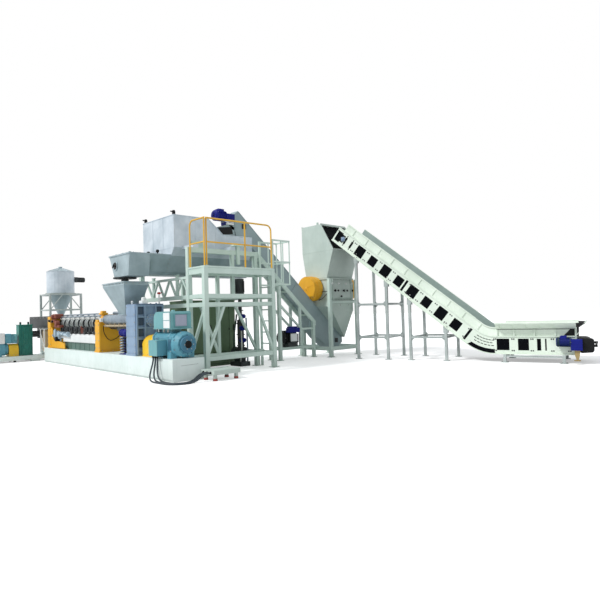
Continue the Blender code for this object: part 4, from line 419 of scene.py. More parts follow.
def cut_plate(outline, a, b, plane="xz"):
    """Plate cut to an outline in plane "xy", "xz" or "yz", thick from a to b."""
    order = {"xy": (0, 1, 2), "xz": (0, 2, 1), "yz": (1, 2, 0)}[plane]
    verts = []
    for p in outline:
        c = [0.0, 0.0, 0.0]
        c[order[0]], c[order[1]], c[order[2]] = p[0], p[1], a
        verts.append(bench.verts.new(c))
    move = [0.0, 0.0, 0.0]
    move[order[2]] = b - a
    pull_out(verts, move)


def pull_out(verts, move):
    """Face over some points, pulled out to a plate."""
    out = bmesh.ops.extrude_face_region(bench, geom=[bench.faces.new(verts)])
    bmesh.ops.translate(bench, vec=move, verts=[v for v in out["geom"] if isinstance(v, bmesh.types.BMVert)])


def bolt(at, axis, r=0.012, high=0.009):
    """Hexagon head on a round washer, standing on the surface at a point, facing axis."""
    at, axis = Vector(at), Vector(axis).normalized()
    spin = axis.to_track_quat("Z", "Y").to_matrix().to_4x4()
    washer = 0.003
    for sides, low, top, base, thick in ((10, r * 1.5, r * 1.45, 0.0, washer),
                                         (6, r, r * 0.93, washer, high)):
        bmesh.ops.create_cone(bench, cap_ends=True, segments=sides, radius1=low, radius2=top, depth=thick,
                              matrix=Matrix.Translation(at + axis * (base + thick / 2.0)) @ spin)


def bolts_at(xs, ys, zs, axis, r=0.012, high=0.009):
    """Bolts wherever the given x, y and z meet."""
    for at in product(xs, ys, zs):
        bolt(at, axis, r, high)


def steps(first, step, count):
    """Even steps from a first value."""
    return [first + step * k for k in range(count)]


def two(a):
    """Two places on a diagonal through a middle."""
    return (-a, -a), (a, a)


def four(a):
    """Four places round a middle."""
    return product((-a, a), repeat=2)


def anchors(x, y, spots, z=0.012, r=0.010, high=0.012):
    """Anchor bolts of a foot plate: spots are their places round its middle."""
    for a, b in spots:
        bolt((x + a, y + b, z), UP, r, high)


def bent_pipe(name, points, r, mat):
    """Round pipe through points, its corners bent smooth."""
    pull = 0.33
    curve = bpy.data.curves.new(name, "CURVE")
    curve.dimensions = "3D"
    curve.bevel_depth = r
    curve.bevel_resolution = 3
    curve.resolution_u = 6
    curve.use_fill_caps = True
    spline = curve.splines.new("BEZIER")
    spline.bezier_points.add(len(points) - 1)
    pts = [LINE @ Vector(p) for p in points]
    for i, spot in enumerate(spline.bezier_points):
        before, after = pts[max(i - 1, 0)], pts[min(i + 1, len(pts) - 1)]
        way = (after - before).normalized()
        spot.co = pts[i]
        spot.handle_left = pts[i] - way * (pts[i] - before).length * pull
        spot.handle_right = pts[i] + way * (after - pts[i]).length * pull
    return link_piece(name, curve, mat)


# %% [markdown]
# The motor cables
#
# Three sheathed cables hang out of the motor's terminal box, touch down on the floor in front of
# the base and run side by side into the cable tray. They are free cords, so each is one smooth
# line of its real length; a cable is a curve with a round section, capped at both ends.

# %% Motor cables
CABLE_D = 0.036
TERMINAL_LOW = 0.545
TRAY_FRONT = 0.62


def cable_points(k):
    """Points the middle of cable k passes through; cable 0 lies outermost."""
    gap = 0.0003
    x, y = -0.76 + 0.10 * k, -0.05
    far = -0.28 + 0.07 * k
    low = CABLE_D / 2.0 + 0.001
    drop = ((0.0, 0.0, TERMINAL_LOW - gap), (0.0, 0.0, 0.46), (0.01, 0.10, 0.36), (0.04, 0.34, 0.24),
            (0.11, 0.62, 0.13), (0.22, 0.85, 0.055), (0.36, 0.97, low + 0.006), (0.50, 1.0, low))
    pts = [(x + a, y + (far - y) * b, z) for a, b, z in drop]
    turn = 0.35 - 0.07 * k
    cx, cy = 0.14, far + turn
    pts.append(((pts[-1][0] + cx) / 2.0, far, low))
    for i in range(5):
        a = math.radians(-90.0 + 22.5 * i)
        pts.append((cx + turn * math.cos(a), cy + turn * math.sin(a), low))
    end = TRAY_FRONT - gap
    for d, f in ((0.46, 0.02), (0.34, 0.22), (0.21, 0.80), (0.11, 1.0), (0.0, 1.0)):
        pts.append((cx + turn, end - d, low + (0.175 - low) * f))
    return pts


def smooth_route(pts, step):
    """Points at even steps along a smooth curve through pts."""
    p = [Vector(q) for q in pts]
    p = [p[0] * 2.0 - p[1]] + p + [p[-1] * 2.0 - p[-2]]
    fine = []
    for a, b, c, d in zip(p, p[1:], p[2:], p[3:]):
        for i in range(12):
            t = i / 12.0
            fine.append(0.5 * (2.0 * b + (c - a) * t + (2.0 * a - 5.0 * b + 4.0 * c - d) * t * t
                               + (3.0 * b - a - 3.0 * c + d) * t * t * t))
    fine.append(p[-2])
    total = sum((b - a).length for a, b in zip(fine, fine[1:]))
    count = round(total / step)
    out = [fine[0]]
    gone = 0.0
    for a, b in zip(fine, fine[1:]):
        span = (b - a).length
        while len(out) < count and gone + span >= total * len(out) / count:
            out.append(a.lerp(b, (total * len(out) / count - gone) / span))
        gone += span
    out.append(fine[-1])
    out[1] = out[0] + (p[2] - p[1]).normalized() * (out[1] - out[0]).length
    out[-2] = out[-1] + (p[-3] - p[-2]).normalized() * (out[-2] - out[-1]).length
    for q in out:
        q.z = max(q.z, CABLE_D / 2.0 + 0.0005)
    return out


for k in range(3):
    route = [LINE @ q for q in smooth_route(cable_points(k), 2.5 * CABLE_D)]
    curve = bpy.data.curves.new("power_cable_%d" % (k + 1), "CURVE")
    curve.dimensions = "3D"
    curve.bevel_depth = CABLE_D / 2.0
    curve.bevel_resolution = 4
    curve.use_fill_caps = True
    spline = curve.splines.new("POLY")
    spline.points.add(len(route) - 1)
    for spot, q in zip(spline.points, route):
        spot.co = (*q, 1.0)
    spline.use_smooth = True
    cable = link_piece("power_cable_%d" % (k + 1), curve, cable_rubber)
    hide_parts("motor_cable_%d" % (k + 1))

# %% [markdown]
# Finishes for the solids
#
# Every finished solid keeps its shape and takes the finish of the real piece in its one slot.

# %% Finishes for the solids
finishes = {
    base_paint: "extruder_base second_base",
    frame_paint: "platform_frame access_ladder casing_stand granulator_frame",
    infeed_paint: "infeed_side_frames infeed_near_skirt infeed_loading_hopper",
    # The far skirt takes the darker copy: painted shade on its inner side.
    shaded_skirt_paint: "infeed_far_skirt",
    mill_paint: "granulator_hopper cutting_chamber granulator_funnel cable_tray",
    guard_paint: "flywheel_guard pulley_guard mid_support front_support",
    rail_paint: "handrail_front handrail_end",
    cover_paint: "coupling_guard second_coupling_guard",
    gear_paint: "gearbox",
    motor_paint: "main_motor second_motor",
    blower_paint: "motor_blower",
    second_gear_paint: "second_gearbox",
    cabinet_paint: "control_cabinet",
    navy_paint: "casing_drive infeed_drive",
    casing_paint: "conveyor_casing",
    bin_steel: "bin cyclone_shell",
    hopper_steel: "screw_trough trough_lid feed_hopper cyclone_roof cyclone_cone",
    galvanised: "cyclone_stand infeed_tall_stand infeed_mid_stand infeed_short_legs",
    white_paint: "cooling_duct",
    dark_iron: "barrel second_barrel outlet_spout trough_drive water_pump screen_changer infeed_head_pulley "
               "infeed_tail_pulley cyclone_motor transfer_hood granulator_motor",
    belt_rubber: "infeed_belt infeed_tail_guard",
}
dressed = 0
for mat, names in finishes.items():
    for name in names.split():
        data = nodes[name].data
        data.materials.clear()
        data.materials.append(mat)
        dressed += 1
print("solids dressed:", dressed, "of", len(nodes) - 4, "that stay")

# %% [markdown]
# Motors get their skin
#
# Every motor on the line is a finned casting with a fan cowl at its free end. The fins run along
# the barrel so that the fan's air is led between them. They are thin ribs set round the axis; the
# cowl is a short turned cap with a ring of slots, and bolts hold the flange and the cowl. The slots
# are near-black plates, painted shade inside the cowl. One helper dresses a motor that is drawn
# as a plain barrel from p to q.

# %% Motor dressing
def around(p, q):
    """Place and turn that carry local Z onto the axis from p to q."""
    p, q = Vector(p), Vector(q)
    return Matrix.Translation(p) @ axis_turn(p, q)


def circle(count, start=0.0):
    """Cosine and sine of even steps round a circle, from a start in degrees."""
    for i in range(count):
        a = math.radians(start + 360.0 * i / count)
        yield math.cos(a), math.sin(a)


def ribs_round(p, q, r, count, high, thick):
    """Thin ribs along the axis, standing out from radius r."""
    length = (Vector(q) - Vector(p)).length
    spot = Matrix.Translation((r + high / 2.0 - 0.002, 0.0, length / 2.0))
    size = Matrix.Diagonal((high, thick, length, 1.0))
    for i in range(count):
        turn = Matrix.Rotation(2.0 * math.pi * i / count, 4, "Z")
        bmesh.ops.create_cube(bench, size=1.0, matrix=around(p, q) @ turn @ spot @ size)


def ring_of_bolts(at, axis, radius, count, r=0.010, start=0.0):
    """Bolts on a circle round a point, facing axis."""
    spin = around(at, Vector(at) + Vector(axis))
    for c, s in circle(count, start):
        bolt(spin @ Vector((radius * c, radius * s, 0.0)), axis, r, r * 0.7)


def dress_motor(name, p, q, r, mat, place=LINE, fins=26):
    """Fins, flange and slotted fan cowl on a motor that runs from p to q."""
    p, q = Vector(p), Vector(q)
    axis = (q - p).normalized()
    length = (q - p).length
    lip = axis * 0.004
    cowl = axis * length * 0.24
    ribs_round(p + axis * length * 0.08, q - cowl, r, fins, max(0.012, r * 0.11), 0.005)
    turned(p - lip, p + axis * length * 0.07, r * 1.13, 24)
    turned(q - cowl, q - axis * length * 0.06, r * 1.12, 24)
    turned(q - axis * length * 0.07, q + lip, r * 1.12, 24, r * 0.86)
    finish_piece(name + "_fins", mat, place, 40.0)
    # The slots and the small hub take the near-black painted shade of the cowl's inside.
    for k in range(10):
        turn = around(q, q + axis) @ Matrix.Rotation(math.radians(36.0 * k), 4, "Z")
        for at, wide in ((r * 0.36, r * 0.22), (r * 0.62, r * 0.26)):
            slot_cut = Matrix.Translation((at, 0.0, 0.006)) @ Matrix.Diagonal((wide, 0.007, 0.003, 1.0))
            bmesh.ops.create_cube(bench, size=1.0, matrix=turn @ slot_cut)
    turned(q + lip, q + axis * 0.009, r * 0.16, 12, None, 0.001)
    finish_piece(name + "_fan_slots", inner_dark, place)
    ring_of_bolts(p - lip, -axis, r, 6, 0.008)
    ring_of_bolts(q - cowl * 0.9, axis, r * 1.13, 4, 0.005, math.degrees(0.6))
    finish_piece(name + "_bolts", bolt_steel, place)


# %% [markdown]
# Infeed conveyor: the dark inside behind the windows
#
# Rubber side sheets hang inside both side frames and keep flakes on the belt. They take the
# near-black finish of shaded insides, so their black is painted shade of the frame's inside, and
# through the square windows one sees nothing but that black. They are cut as long plates that
# follow the frame's line, so the same lane of points that shapes the frame shapes them.

# %% Side sheets behind the windows
SLOPE = 0.806
LINE_U, LINE_Z, FLAT_Z = 2.50, 2.53, 0.43
U_BEND = LINE_U + (LINE_Z - FLAT_Z) / SLOPE
COS_S = 1.0 / math.hypot(1.0, SLOPE)
SIN_S = SLOPE * COS_S
HEAD_U, TAIL_U = 1.00, U_BEND + 2.144
PLATE_V, PLATE_T, HALF_DEEP = 0.575, 0.02, 0.23
FACE_V = PLATE_V + PLATE_T
WINDOW_U, WINDOW_PITCH, WINDOWS = LINE_U - 0.73, 0.383, 8


def on_slope(u, off):
    """Point of the sloping run: along to u, then square to the slope by off; u and z."""
    return (u + off * SIN_S, LINE_Z - SLOPE * (u - LINE_U) + off * COS_S)


def arc(x, y, r, first, step, count):
    """Points on a round corner, the first at an angle in degrees, each next one a step on."""
    angles = [math.radians(first + step * j) for j in range(count)]
    return [(x + r * math.cos(a), y + r * math.sin(a)) for a in angles]


def frame_lane(off, u0, u1, count=11):
    """Points along the conveyor moved square to it by off, from u0 down and round the bend to u1."""
    rad = 0.9
    u = U_BEND + rad * math.tan(math.atan(SLOPE) / 2.0)
    turn = math.degrees(math.atan(SLOPE))
    bend = arc(u, FLAT_Z + rad, rad - off, -90.0 - turn, turn / (count - 1), count)
    return [on_slope(u0, off), *bend, (u1, FLAT_Z + off)]


def slope_plate(u, wide, low, high, a, b, top=None):
    """Four-sided plate on the sloping run, its edges low and high off the line, thick from a to b."""
    top = wide if top is None else top
    corners = ((u - wide, low), (u + wide, low), (u + top, high), (u - top, high))
    cut_plate([on_slope(*c) for c in corners], a, b)


# The near-black of these sheets is painted shade of the frame's inside.
for side in BOTH:
    lower, upper = (frame_lane(off, HEAD_U + 0.02, TAIL_U - 0.01) for off in (-0.205, 0.205))
    cut_plate(lower + upper[::-1], side * (PLATE_V - 0.012), side * (PLATE_V - 0.004))
finish_piece("infeed_side_sheets", inner_dark, CONV)

# %% [markdown]
# Infeed conveyor: bolts and slots of the side frames
#
# The side frames are plate sections butted together. Each joint between two windows is held by
# a pair of bolts above and a pair below, and the bend carries a fan of adjusting slots over a
# black sealing strip. Bolt heads are hexagons on washers, blackened, as the photograph shows
# them dark against the pale paint. The windows themselves are thin black plates too, laid over
# the openings so that their edges stay crisp. Slots, strip and windows take the near-black finish
# of shaded insides: painted shade of the frame's inside, on the strip over its own black rubber.

# %% Frame bolts, slots and sealing strip
PAIR = (-0.022, 0.022)
MARK = 0.002
for side in BOTH:
    spots = [on_slope(WINDOW_U + WINDOW_PITCH * (i - 0.5) + (0.085 if i in (4, 8) else 0.0) + step, off)
             for i in range(WINDOWS + 1) for off in (-0.125, 0.125) for step in PAIR]
    spots += [(U_BEND + u + step, FLAT_Z + z)
              for u in (0.31, 0.735, 1.17, 1.62, 1.98) for z in (-0.135, 0.15) for step in PAIR]
    for u, z in spots:
        bolt((u, side * FACE_V, z), (0.0, side, 0.0))
finish_piece("infeed_frame_bolts", dark_iron, CONV)

openings = [(WINDOW_U + WINDOW_PITCH * 3.5 - 0.03, 0.026, 0.17),
            (WINDOW_U + WINDOW_PITCH * 7.0 + 0.30, 0.026, 0.17),
            (HEAD_U + 0.31, 0.026, 0.10), (HEAD_U + 0.49, 0.026, 0.10), (HEAD_U + 0.155, 0.115, 0.115)]
openings += [(WINDOW_U + WINDOW_PITCH * i, (0.130, 0.115)[i % 2] * COS_S * 1.12, (0.155, 0.135)[i % 2])
             for i in range(WINDOWS)]
# Slots, sealing strip and window plates in near-black: painted shade of the frame's inside.
for side in BOTH:
    face = side * FACE_V
    for off, first in ((-0.02, 2), (0.05, 1), (0.12, 2)):
        row = frame_lane(off, LINE_U, TAIL_U, 15)[1:-1]
        for k in range(first, 13, 2):
            a, c = Vector(row[k]), Vector(row[k + 1])
            mid, way = (a + c) / 2.0, (c - a).normalized()
            turn = math.degrees(math.atan2(way.y, way.x))
            outline = arc(*(mid + way * 0.026), 0.009, turn - 90.0, 45.0, 5)
            outline += arc(*(mid - way * 0.026), 0.009, turn + 90.0, 45.0, 5)
            cut_plate(outline, face, face + side * MARK)
    for u, wide, high in openings:
        slope_plate(u, wide, -high, high, face, face + side * MARK)
    strip = frame_lane(-0.205, U_BEND - 0.24, U_BEND + 0.30)
    cut_plate(strip + frame_lane(-0.105, U_BEND - 0.20, U_BEND + 0.30)[::-1], face, face + side * 0.004)
finish_piece("infeed_bend_slots", inner_dark, CONV)

# %% [markdown]
# Infeed conveyor: belt cleats, bearings and feet
#
# Rubber cleats are vulcanised across the belt so that flakes don't slide back down the slope.
# Both pulley shafts end in four-bolt flange bearings, cast in iron. Each leg stands on a plate
# with two anchor bolts, and small gussets stiffen the corners where the ties meet the legs.

# %% Cleats, bearings, anchors and gussets
CLEAT_V, CLEAT_HIGH = 0.44, 0.05
top = 0.15 / math.cos(math.pi / 24.0) + 0.0143
for u in steps(HEAD_U + 0.34, 0.33, 12):
    slope_plate(u, 0.022, top, top + CLEAT_HIGH, -CLEAT_V, CLEAT_V, 0.010)
z = FLAT_Z + top
for u in steps(U_BEND + 0.52, 0.36, 5):
    cut_plate([(u - 0.022, z), (u + 0.022, z), (u + 0.010, z + CLEAT_HIGH), (u - 0.010, z + CLEAT_HIGH)],
              -CLEAT_V, CLEAT_V)
finish_piece("infeed_belt_cleats", belt_rubber, CONV)

head_u = HEAD_U + 0.24
PULLEYS = ((head_u, LINE_Z - SLOPE * (head_u - LINE_U)), (TAIL_U + 0.14, FLAT_Z))
for side, (u, z) in product(BOTH, PULLEYS):
    face = side * FACE_V
    block((u - 0.065, face, z - 0.065), (u + 0.065, face + side * 0.018, z + 0.065), 0.012)
    stub((u, face, z), (0.0, side * 0.042, 0.0), 0.05, 20, 0.042)
    stub((u, face, z), (0.0, side * 0.06, 0.0), 0.022, 14)
finish_piece("infeed_bearings", gear_paint, CONV)

LEG_V = PLATE_V + 0.075
LEGS = (LINE_U - 0.84, LINE_U + 0.07, LINE_U + 0.73, LINE_U + 1.70)
for side in BOTH:
    for u, z in PULLEYS:
        bolts_at((u - 0.046, u + 0.046), (side * (FACE_V + 0.018),), (z - 0.046, z + 0.046), (0.0, side, 0.0),
                 0.009, 0.008)
    for u in LEGS:
        anchors(u, side * LEG_V, two(0.058))
        x, z = on_slope(u, -HALF_DEEP)
        bolts_at((u - 0.035, u + 0.035), (side * (LEG_V + 0.035),), (z - 0.07, z + 0.03), (0.0, side, 0.0),
                 0.010)
    for u in (U_BEND + 0.535, U_BEND + 1.855):
        anchors(u, side * (PLATE_V + 0.03), two(0.058))
finish_piece("infeed_anchor_bolts", bolt_steel, CONV)

for u, way, levels in zip(LEGS, (1, -1, 1, -1), ((0.60, 1.55), (0.60, 1.55), (0.60,), (0.60,))):
    a = u + way * 0.035
    for side, z in product(BOTH, levels):
        v = side * LEG_V
        cut_plate([(a, z), (a + way * 0.07, z), (a, z - 0.07)], v - 0.004, v + 0.004)
        cut_plate([(a, z + 0.05), (a, z + 0.12), (a + way * 0.07, z + 0.05)], v - 0.004, v + 0.004)
finish_piece("infeed_gussets", galvanised, CONV)

# %% [markdown]
# Infeed conveyor: hopper rims, skirt hems and the tail end
#
# Sheet edges that people lean over are folded back, which also stiffens them. The end of the
# loading hopper carries a dark rubber apron with a cheek at each corner, and a rubber strip seals
# the foot of its long walls. Their black is partly the rubber and partly painted shade: on the
# apron and cheeks the shade of the hopper's end, on the strip the shadow line under the flare.
# Painted uprights close the tail end beside it. A moulded black cover closes the tail pulley off.
# The gear unit hangs on a tan bracket.

# %% Rims, apron and uprights
u0, u1 = U_BEND + 0.3545, TAIL_U - 0.01
rim = PLATE_V + 0.27
RIM_Z = 0.983
low = HALF_DEEP + 0.224
(x0, z0), (x1, z1) = on_slope(HEAD_U + 0.17, low), on_slope(U_BEND - 0.42, low)
for side in BOTH:
    v = side * (rim - 0.0115)
    turned((u0 + 0.002, v, RIM_Z), (u1, v, RIM_Z), 0.011, 10)
    for u in steps(u0 + 0.10, 0.30, 6):
        bar((u, side * (PLATE_V + 0.035), 0.838), (u, side * (rim - 0.012), 0.962), 0.006, 0.022)
    for v in (side * (PLATE_V + 0.004), side * (PLATE_V + 0.040)):
        bar((x0, v, z0), (x1, v, z1), 0.006, 0.006)
turned((u1 + 0.19, -PLATE_V, RIM_Z), (u1 + 0.19, PLATE_V, RIM_Z), 0.011, 10)
finish_piece("hopper_folded_rims", infeed_paint, CONV)

# Apron, cheeks, strip and near-wall flap in black rubber, partly painted shade of the hopper's end.
apron = ((0.002, 0.70), (0.006, 0.70), (0.006, 0.822), (0.188, 0.950), (0.188, 0.962), (0.002, 0.832))
cut_plate([(u1 + a, z) for a, z in apron], -PLATE_V + 0.005, PLATE_V - 0.005)
for side in BOTH:
    cheek = ((u1, side * PLATE_V, 0.835), (u1, side * (rim - 0.01), 0.972),
             (u1 + 0.185, side * PLATE_V, 0.972))
    pull_out([bench.verts.new(p) for p in cheek], (0.003, side * 0.004, -0.002))
    a, b = side * (PLATE_V + 0.0155), side * (PLATE_V + 0.022)
    # The strip's black also paints the shadow line under the flare.
    block((u0, a, 0.818), (u1 - 0.01, b, 0.829), 0.001)
    cut_plate([(u1 - 0.27, 0.664), (u1 - 0.035, 0.664), (u1 - 0.035, 0.818), (u1 - 0.13, 0.818)], a, b)
for v in steps(-0.50, 1.0 / 6.0, 7):
    bar((u1 + 0.010, v, 0.72), (u1 + 0.010, v, 0.82), 0.012, 0.008)
finish_piece("hopper_apron_and_painted_shade", belt_rubber, CONV)

for side in BOTH:
    a, b = side * (PLATE_V + 0.022), side * (PLATE_V + 0.060)
    block((u1 - 0.016, a, 0.665), (u1 + 0.010, b, 0.955), 0.003)
    block((TAIL_U - 0.034, a, 0.225), (TAIL_U - 0.012, b, 0.635), 0.003)
finish_piece("tail_end_uprights", infeed_paint, CONV)

# %% Tail cover and drive
outline = []
for u, z, first in ((0.28, -0.10, -90.0), (0.28, 0.10, 0.0), (0.10, 0.115, 90.0), (0.10, -0.115, 180.0)):
    outline += arc(TAIL_U + u, FLAT_Z + 0.01 + z, 0.065, first, 15.0, 7)
cut_plate(outline, -FACE_V - 0.09, -FACE_V - 0.001)
edges = [e for e in bench.edges if all(v.co.y < -FACE_V - 0.08 for v in e.verts)]
bmesh.ops.bevel(bench, geom=edges, offset=0.022, segments=3, affect="EDGES", profile=0.5, material=-1)
blocks(3, (0.0, 0.0, 0.07), (TAIL_U + 0.10, -FACE_V - 0.094, FLAT_Z - 0.065),
       (TAIL_U + 0.27, -FACE_V - 0.088, FLAT_Z - 0.053), 0.002)
finish_piece("infeed_tail_cover", handle_plastic, CONV)

v = -PLATE_V - 0.05
bracket = ((-0.06, 0.33), (0.06, 0.33), (0.045, 0.20), (0.02, 0.10), (-0.02, 0.10), (-0.05, 0.20))
cut_plate([(TAIL_U + a, z) for a, z in bracket], v - 0.15, v - 0.05)
block((TAIL_U - 0.075, v - 0.17, 0.08), (TAIL_U + 0.065, v - 0.03, 0.10))
finish_piece("infeed_drive_bracket", tan_paint, CONV)

v -= 0.0003
z = FLAT_Z + 0.09
dress_motor("infeed_drive_motor", (TAIL_U - 0.13, v - 0.11, z), (TAIL_U - 0.43, v - 0.11, z), 0.1,
            dark_motor_paint, CONV, 22)
blocks(4, (0.0, 0.0, 0.06), (TAIL_U - 0.125, v - 0.208, z - 0.17), (TAIL_U + 0.105, v - 0.198, z - 0.158),
       0.002)
block((TAIL_U - 0.345, v - 0.185, FLAT_Z + 0.225), (TAIL_U - 0.205, v - 0.035, FLAT_Z + 0.245), 0.006)
finish_piece("infeed_gear_ribs", navy_paint, CONV)

# %% [markdown]
# Granulator: chamber bolts, caps and knobs
#
# The cutting chamber opens for knife changes, so its front carries white capped clamp screws
# along the top and dark knobs below them, and bolts hold its flanges to the hopper and to the
# band under it. The caps are short turned studs; the knobs are moulded stars, here a turned
# core with lobes.

# %% Granulator fittings
MILL_X0, MILL_X1, MILL_Y0, MILL_Y1 = -2.24, -1.08, 6.00, 7.16
face = MILL_X1 + 0.021
for y in (6.12, 6.40, 6.74, 7.02):
    stub((face, y, 2.27), (0.035, 0.0, 0.0), 0.030, 16, 0.026, 0.005)
    stub((face + 0.03, y, 2.27), (0.03, 0.0, 0.0), 0.020, 12, 0.016, 0.004)
finish_piece("chamber_clamp_caps", white_paint)

for y, z, r in ((6.22, 2.05, 0.030), (6.36, 2.05, 0.024), (6.62, 2.05, 0.030), (6.78, 2.05, 0.024),
                (7.03, 2.05, 0.030), (6.50, 1.87, 0.026)):
    stub((face, y, z), (0.05, 0.0, 0.0), r * 0.5, 10)
    stub((face + 0.04, y, z), (0.03, 0.0, 0.0), r * 0.8, 12, r * 0.6, 0.004)
    for c, s in circle(5):
        stub((face + 0.042, y + r * c, z + r * s), (0.022, 0.0, 0.0), r * 0.42, 10, None, 0.003)
finish_piece("chamber_star_knobs", handle_plastic)

flange_ys = steps(MILL_Y0 + 0.05, 0.1325, 9)
bolts_at((MILL_X1 - 0.008, MILL_X0 + 0.02), flange_ys, (1.76,), UP, 0.011)
bolts_at((MILL_X1 - 0.018,), flange_ys, (2.41,), DOWN, 0.009)
for y, axis in ((MILL_Y0 - 0.0003, FRONT), (MILL_Y1 + 0.0003, BACK)):
    bolts_at((-2.20, -2.12, -1.26, -1.16), (y,), (1.55,), axis)
for x, y in product((MILL_X0 - 0.07, MILL_X1 + 0.07), (MILL_Y0 - 0.05, MILL_Y1 + 0.05)):
    anchors(x, y, four(0.07), 0.015)
bolts_at((MILL_X1 - 0.0395,), (6.15, 6.55, 6.95), (1.60,), RIGHT, 0.013)
finish_piece("granulator_bolts", bolt_steel)

# %% [markdown]
# Granulator: guards and inlet curtain
#
# The flywheel guard is rolled in two halves; the joint runs slanting over its face as a raised
# strip. In the inlet hang strips of black rubber that stop cut pieces from flying back out; they take
# the near-black finish of shaded insides, which also paints the shade inside the inlet.
# The hopper's edges are hemmed, and a sheet doubles its leaning front wall. Hydraulic pipes for
# the opening cylinder run between guard and chamber.

# %% Guard seams, curtain and pipes
xc, zc, yf = (MILL_X0 + MILL_X1) / 2.0 - 0.06, 2.13, MILL_Y0 - 0.36
for a, b, c, d in ((-0.355, -0.06, 0.345, 0.115), (0.02, 0.03, 0.17, -0.33)):
    bar((xc + a, yf - 0.003, zc + b), (xc + c, yf - 0.003, zc + d), 0.008, 0.020)
turned((xc, yf, zc), (xc, yf - 0.012, zc), 0.06, 20, 0.052)
for c, s in circle(10, 12.0):
    if zc + 0.36 * s > 1.95:
        bolt((xc + 0.36 * c, yf, zc + 0.36 * s), FRONT, 0.009)
yf = MILL_Y1 + 0.48
bar((xc - 0.36, yf + 0.003, zc), (xc + 0.36, yf + 0.003, zc), 0.008, 0.020)
ring_of_bolts((xc, yf, zc), BACK, 0.355, 10, 0.009)
finish_piece("wheel_guard_seams", guard_paint)

# Curtain strips: black rubber, and near-black painted shade inside the inlet.
dice = random.Random(7)
top_x, top_z, low_x, low_z = MILL_X1 - 0.315, 4.09, MILL_X1 + 0.165, 3.36
for y in steps(MILL_Y0 + 0.03, 0.111, 10):
    sway = dice.uniform(-0.012, 0.012)
    reach = dice.uniform(0.92, 1.0)
    x1, z1 = top_x + (low_x - top_x) * reach + sway, top_z + (low_z - top_z) * reach
    cut_plate([(top_x, top_z), (x1, z1), (x1 - 0.006, z1 - 0.004), (top_x - 0.006, top_z - 0.004)],
              y, y + 0.102)
finish_piece("inlet_curtain_rubber_and_shade", inner_dark)

for y, out in ((MILL_Y0, -0.002), (MILL_Y1, 0.002)):
    bar((MILL_X1 + 0.235, y, 3.31), (MILL_X1 - 0.277, y, 4.155), 0.03, 0.012)
    bar((MILL_X0 + 0.04, y + out, 3.29), (MILL_X1 + 0.22, y + out, 3.305), 0.006, 0.010)
    bar((MILL_X0 + 0.19, y + out, 2.475), (MILL_X1 - 0.06, y + out, 2.475), 0.010, 0.035)
for x, w in ((MILL_X1 - 0.285, 0.05), (MILL_X0 + 0.02, 0.03)):
    bar((x, MILL_Y0, 4.156), (x, MILL_Y1, 4.156), 0.012, w)
finish_piece("mill_hopper_hems", mill_paint)

foot_x = MILL_X1 - 0.06
lean = 0.835 * 0.29 / 0.85
cut_plate([(foot_x - 0.012, 2.452), (foot_x + 0.005, 2.452), (foot_x + 0.005 + lean, 3.287),
           (foot_x - 0.012 + lean, 3.287)], MILL_Y0, MILL_Y1)
finish_piece("mill_hopper_front_sheet", mill_paint)
bent_pipe("mill_hydraulic_pipe_1", ((-1.36, 5.96, 2.02), (-1.22, 5.93, 2.03), (-1.06, 5.93, 2.02)), 0.011,
          dark_iron)
lower_pipe = ((-1.42, 5.90, 1.76), (-1.26, 5.90, 1.82), (-1.12, 5.93, 1.94), (-1.10, 6.00, 1.96))
bent_pipe("mill_hydraulic_pipe_2", lower_pipe, 0.011, dark_iron)

# %% [markdown]
# The motor in the trestle
#
# A dark motor with a deep blue top and a white terminal box stands low in the trestle under the
# enclosed conveyor. Its drive carries the same fins and cowl as the others.

# %% Granulator motor
dress_motor("mill_motor", (-1.79, 4.62, 0.65), (-1.79, 5.10, 0.65), 0.20, handle_plastic,
            LINE, 30)
block((-1.60, 4.62, 0.81), (-1.40, 5.04, 0.95), 0.02)
block((-1.62, 4.68, 0.94), (-1.44, 4.98, 0.99), 0.02)
finish_piece("mill_motor_top", navy_paint)
block((-1.432, 4.66, 0.55), (-1.405, 4.92, 0.78), 0.008)
block((-1.405, 4.68, 0.57), (-1.398, 4.90, 0.76), 0.003)
finish_piece("mill_terminal_box", white_paint)

# %% [markdown]
# Enclosed conveyor: seams, flap, bearings and drive
#
# The casing is bolted together from folded lengths. Each joint has a flange with bolts on both
# sides, and hems run along the upper and lower edges. At the head a short chute leads into the bin;
# a black rubber flap closes its side. The gear motor hangs on a pale bracket.

# %% Casing fittings
CASING_MID, CASING_HALF = -1.79, 0.16
FALL = (1.16 - 4.26) / (6.45 - 3.01)


def casing_top(y):
    """Height of the casing's upper edge at y."""
    return 4.26 + FALL * (y - 3.01)


drop = Vector((0.0, -FALL, 1.0)).normalized()
for side in BOTH:
    x = CASING_MID + side * CASING_HALF
    for y, off in product((3.78, 4.40, 5.02), steps(-0.165, 0.11, 4)):
        bolt(Vector((x + side * 0.0203, y, casing_top(y) - 0.30)) + drop * off, (side, 0.0, 0.0), 0.009)
    for y in steps(5.75, 0.15, 9):
        bolt((x, y, casing_top(y) - 0.05), (side, 0.0, 0.0), 0.008)
for x, y in product((-2.0, -1.58), (4.38, 5.76)):
    anchors(x, y, two(0.06), 0.012, 0.009)
finish_piece("casing_bolts", bolt_steel)

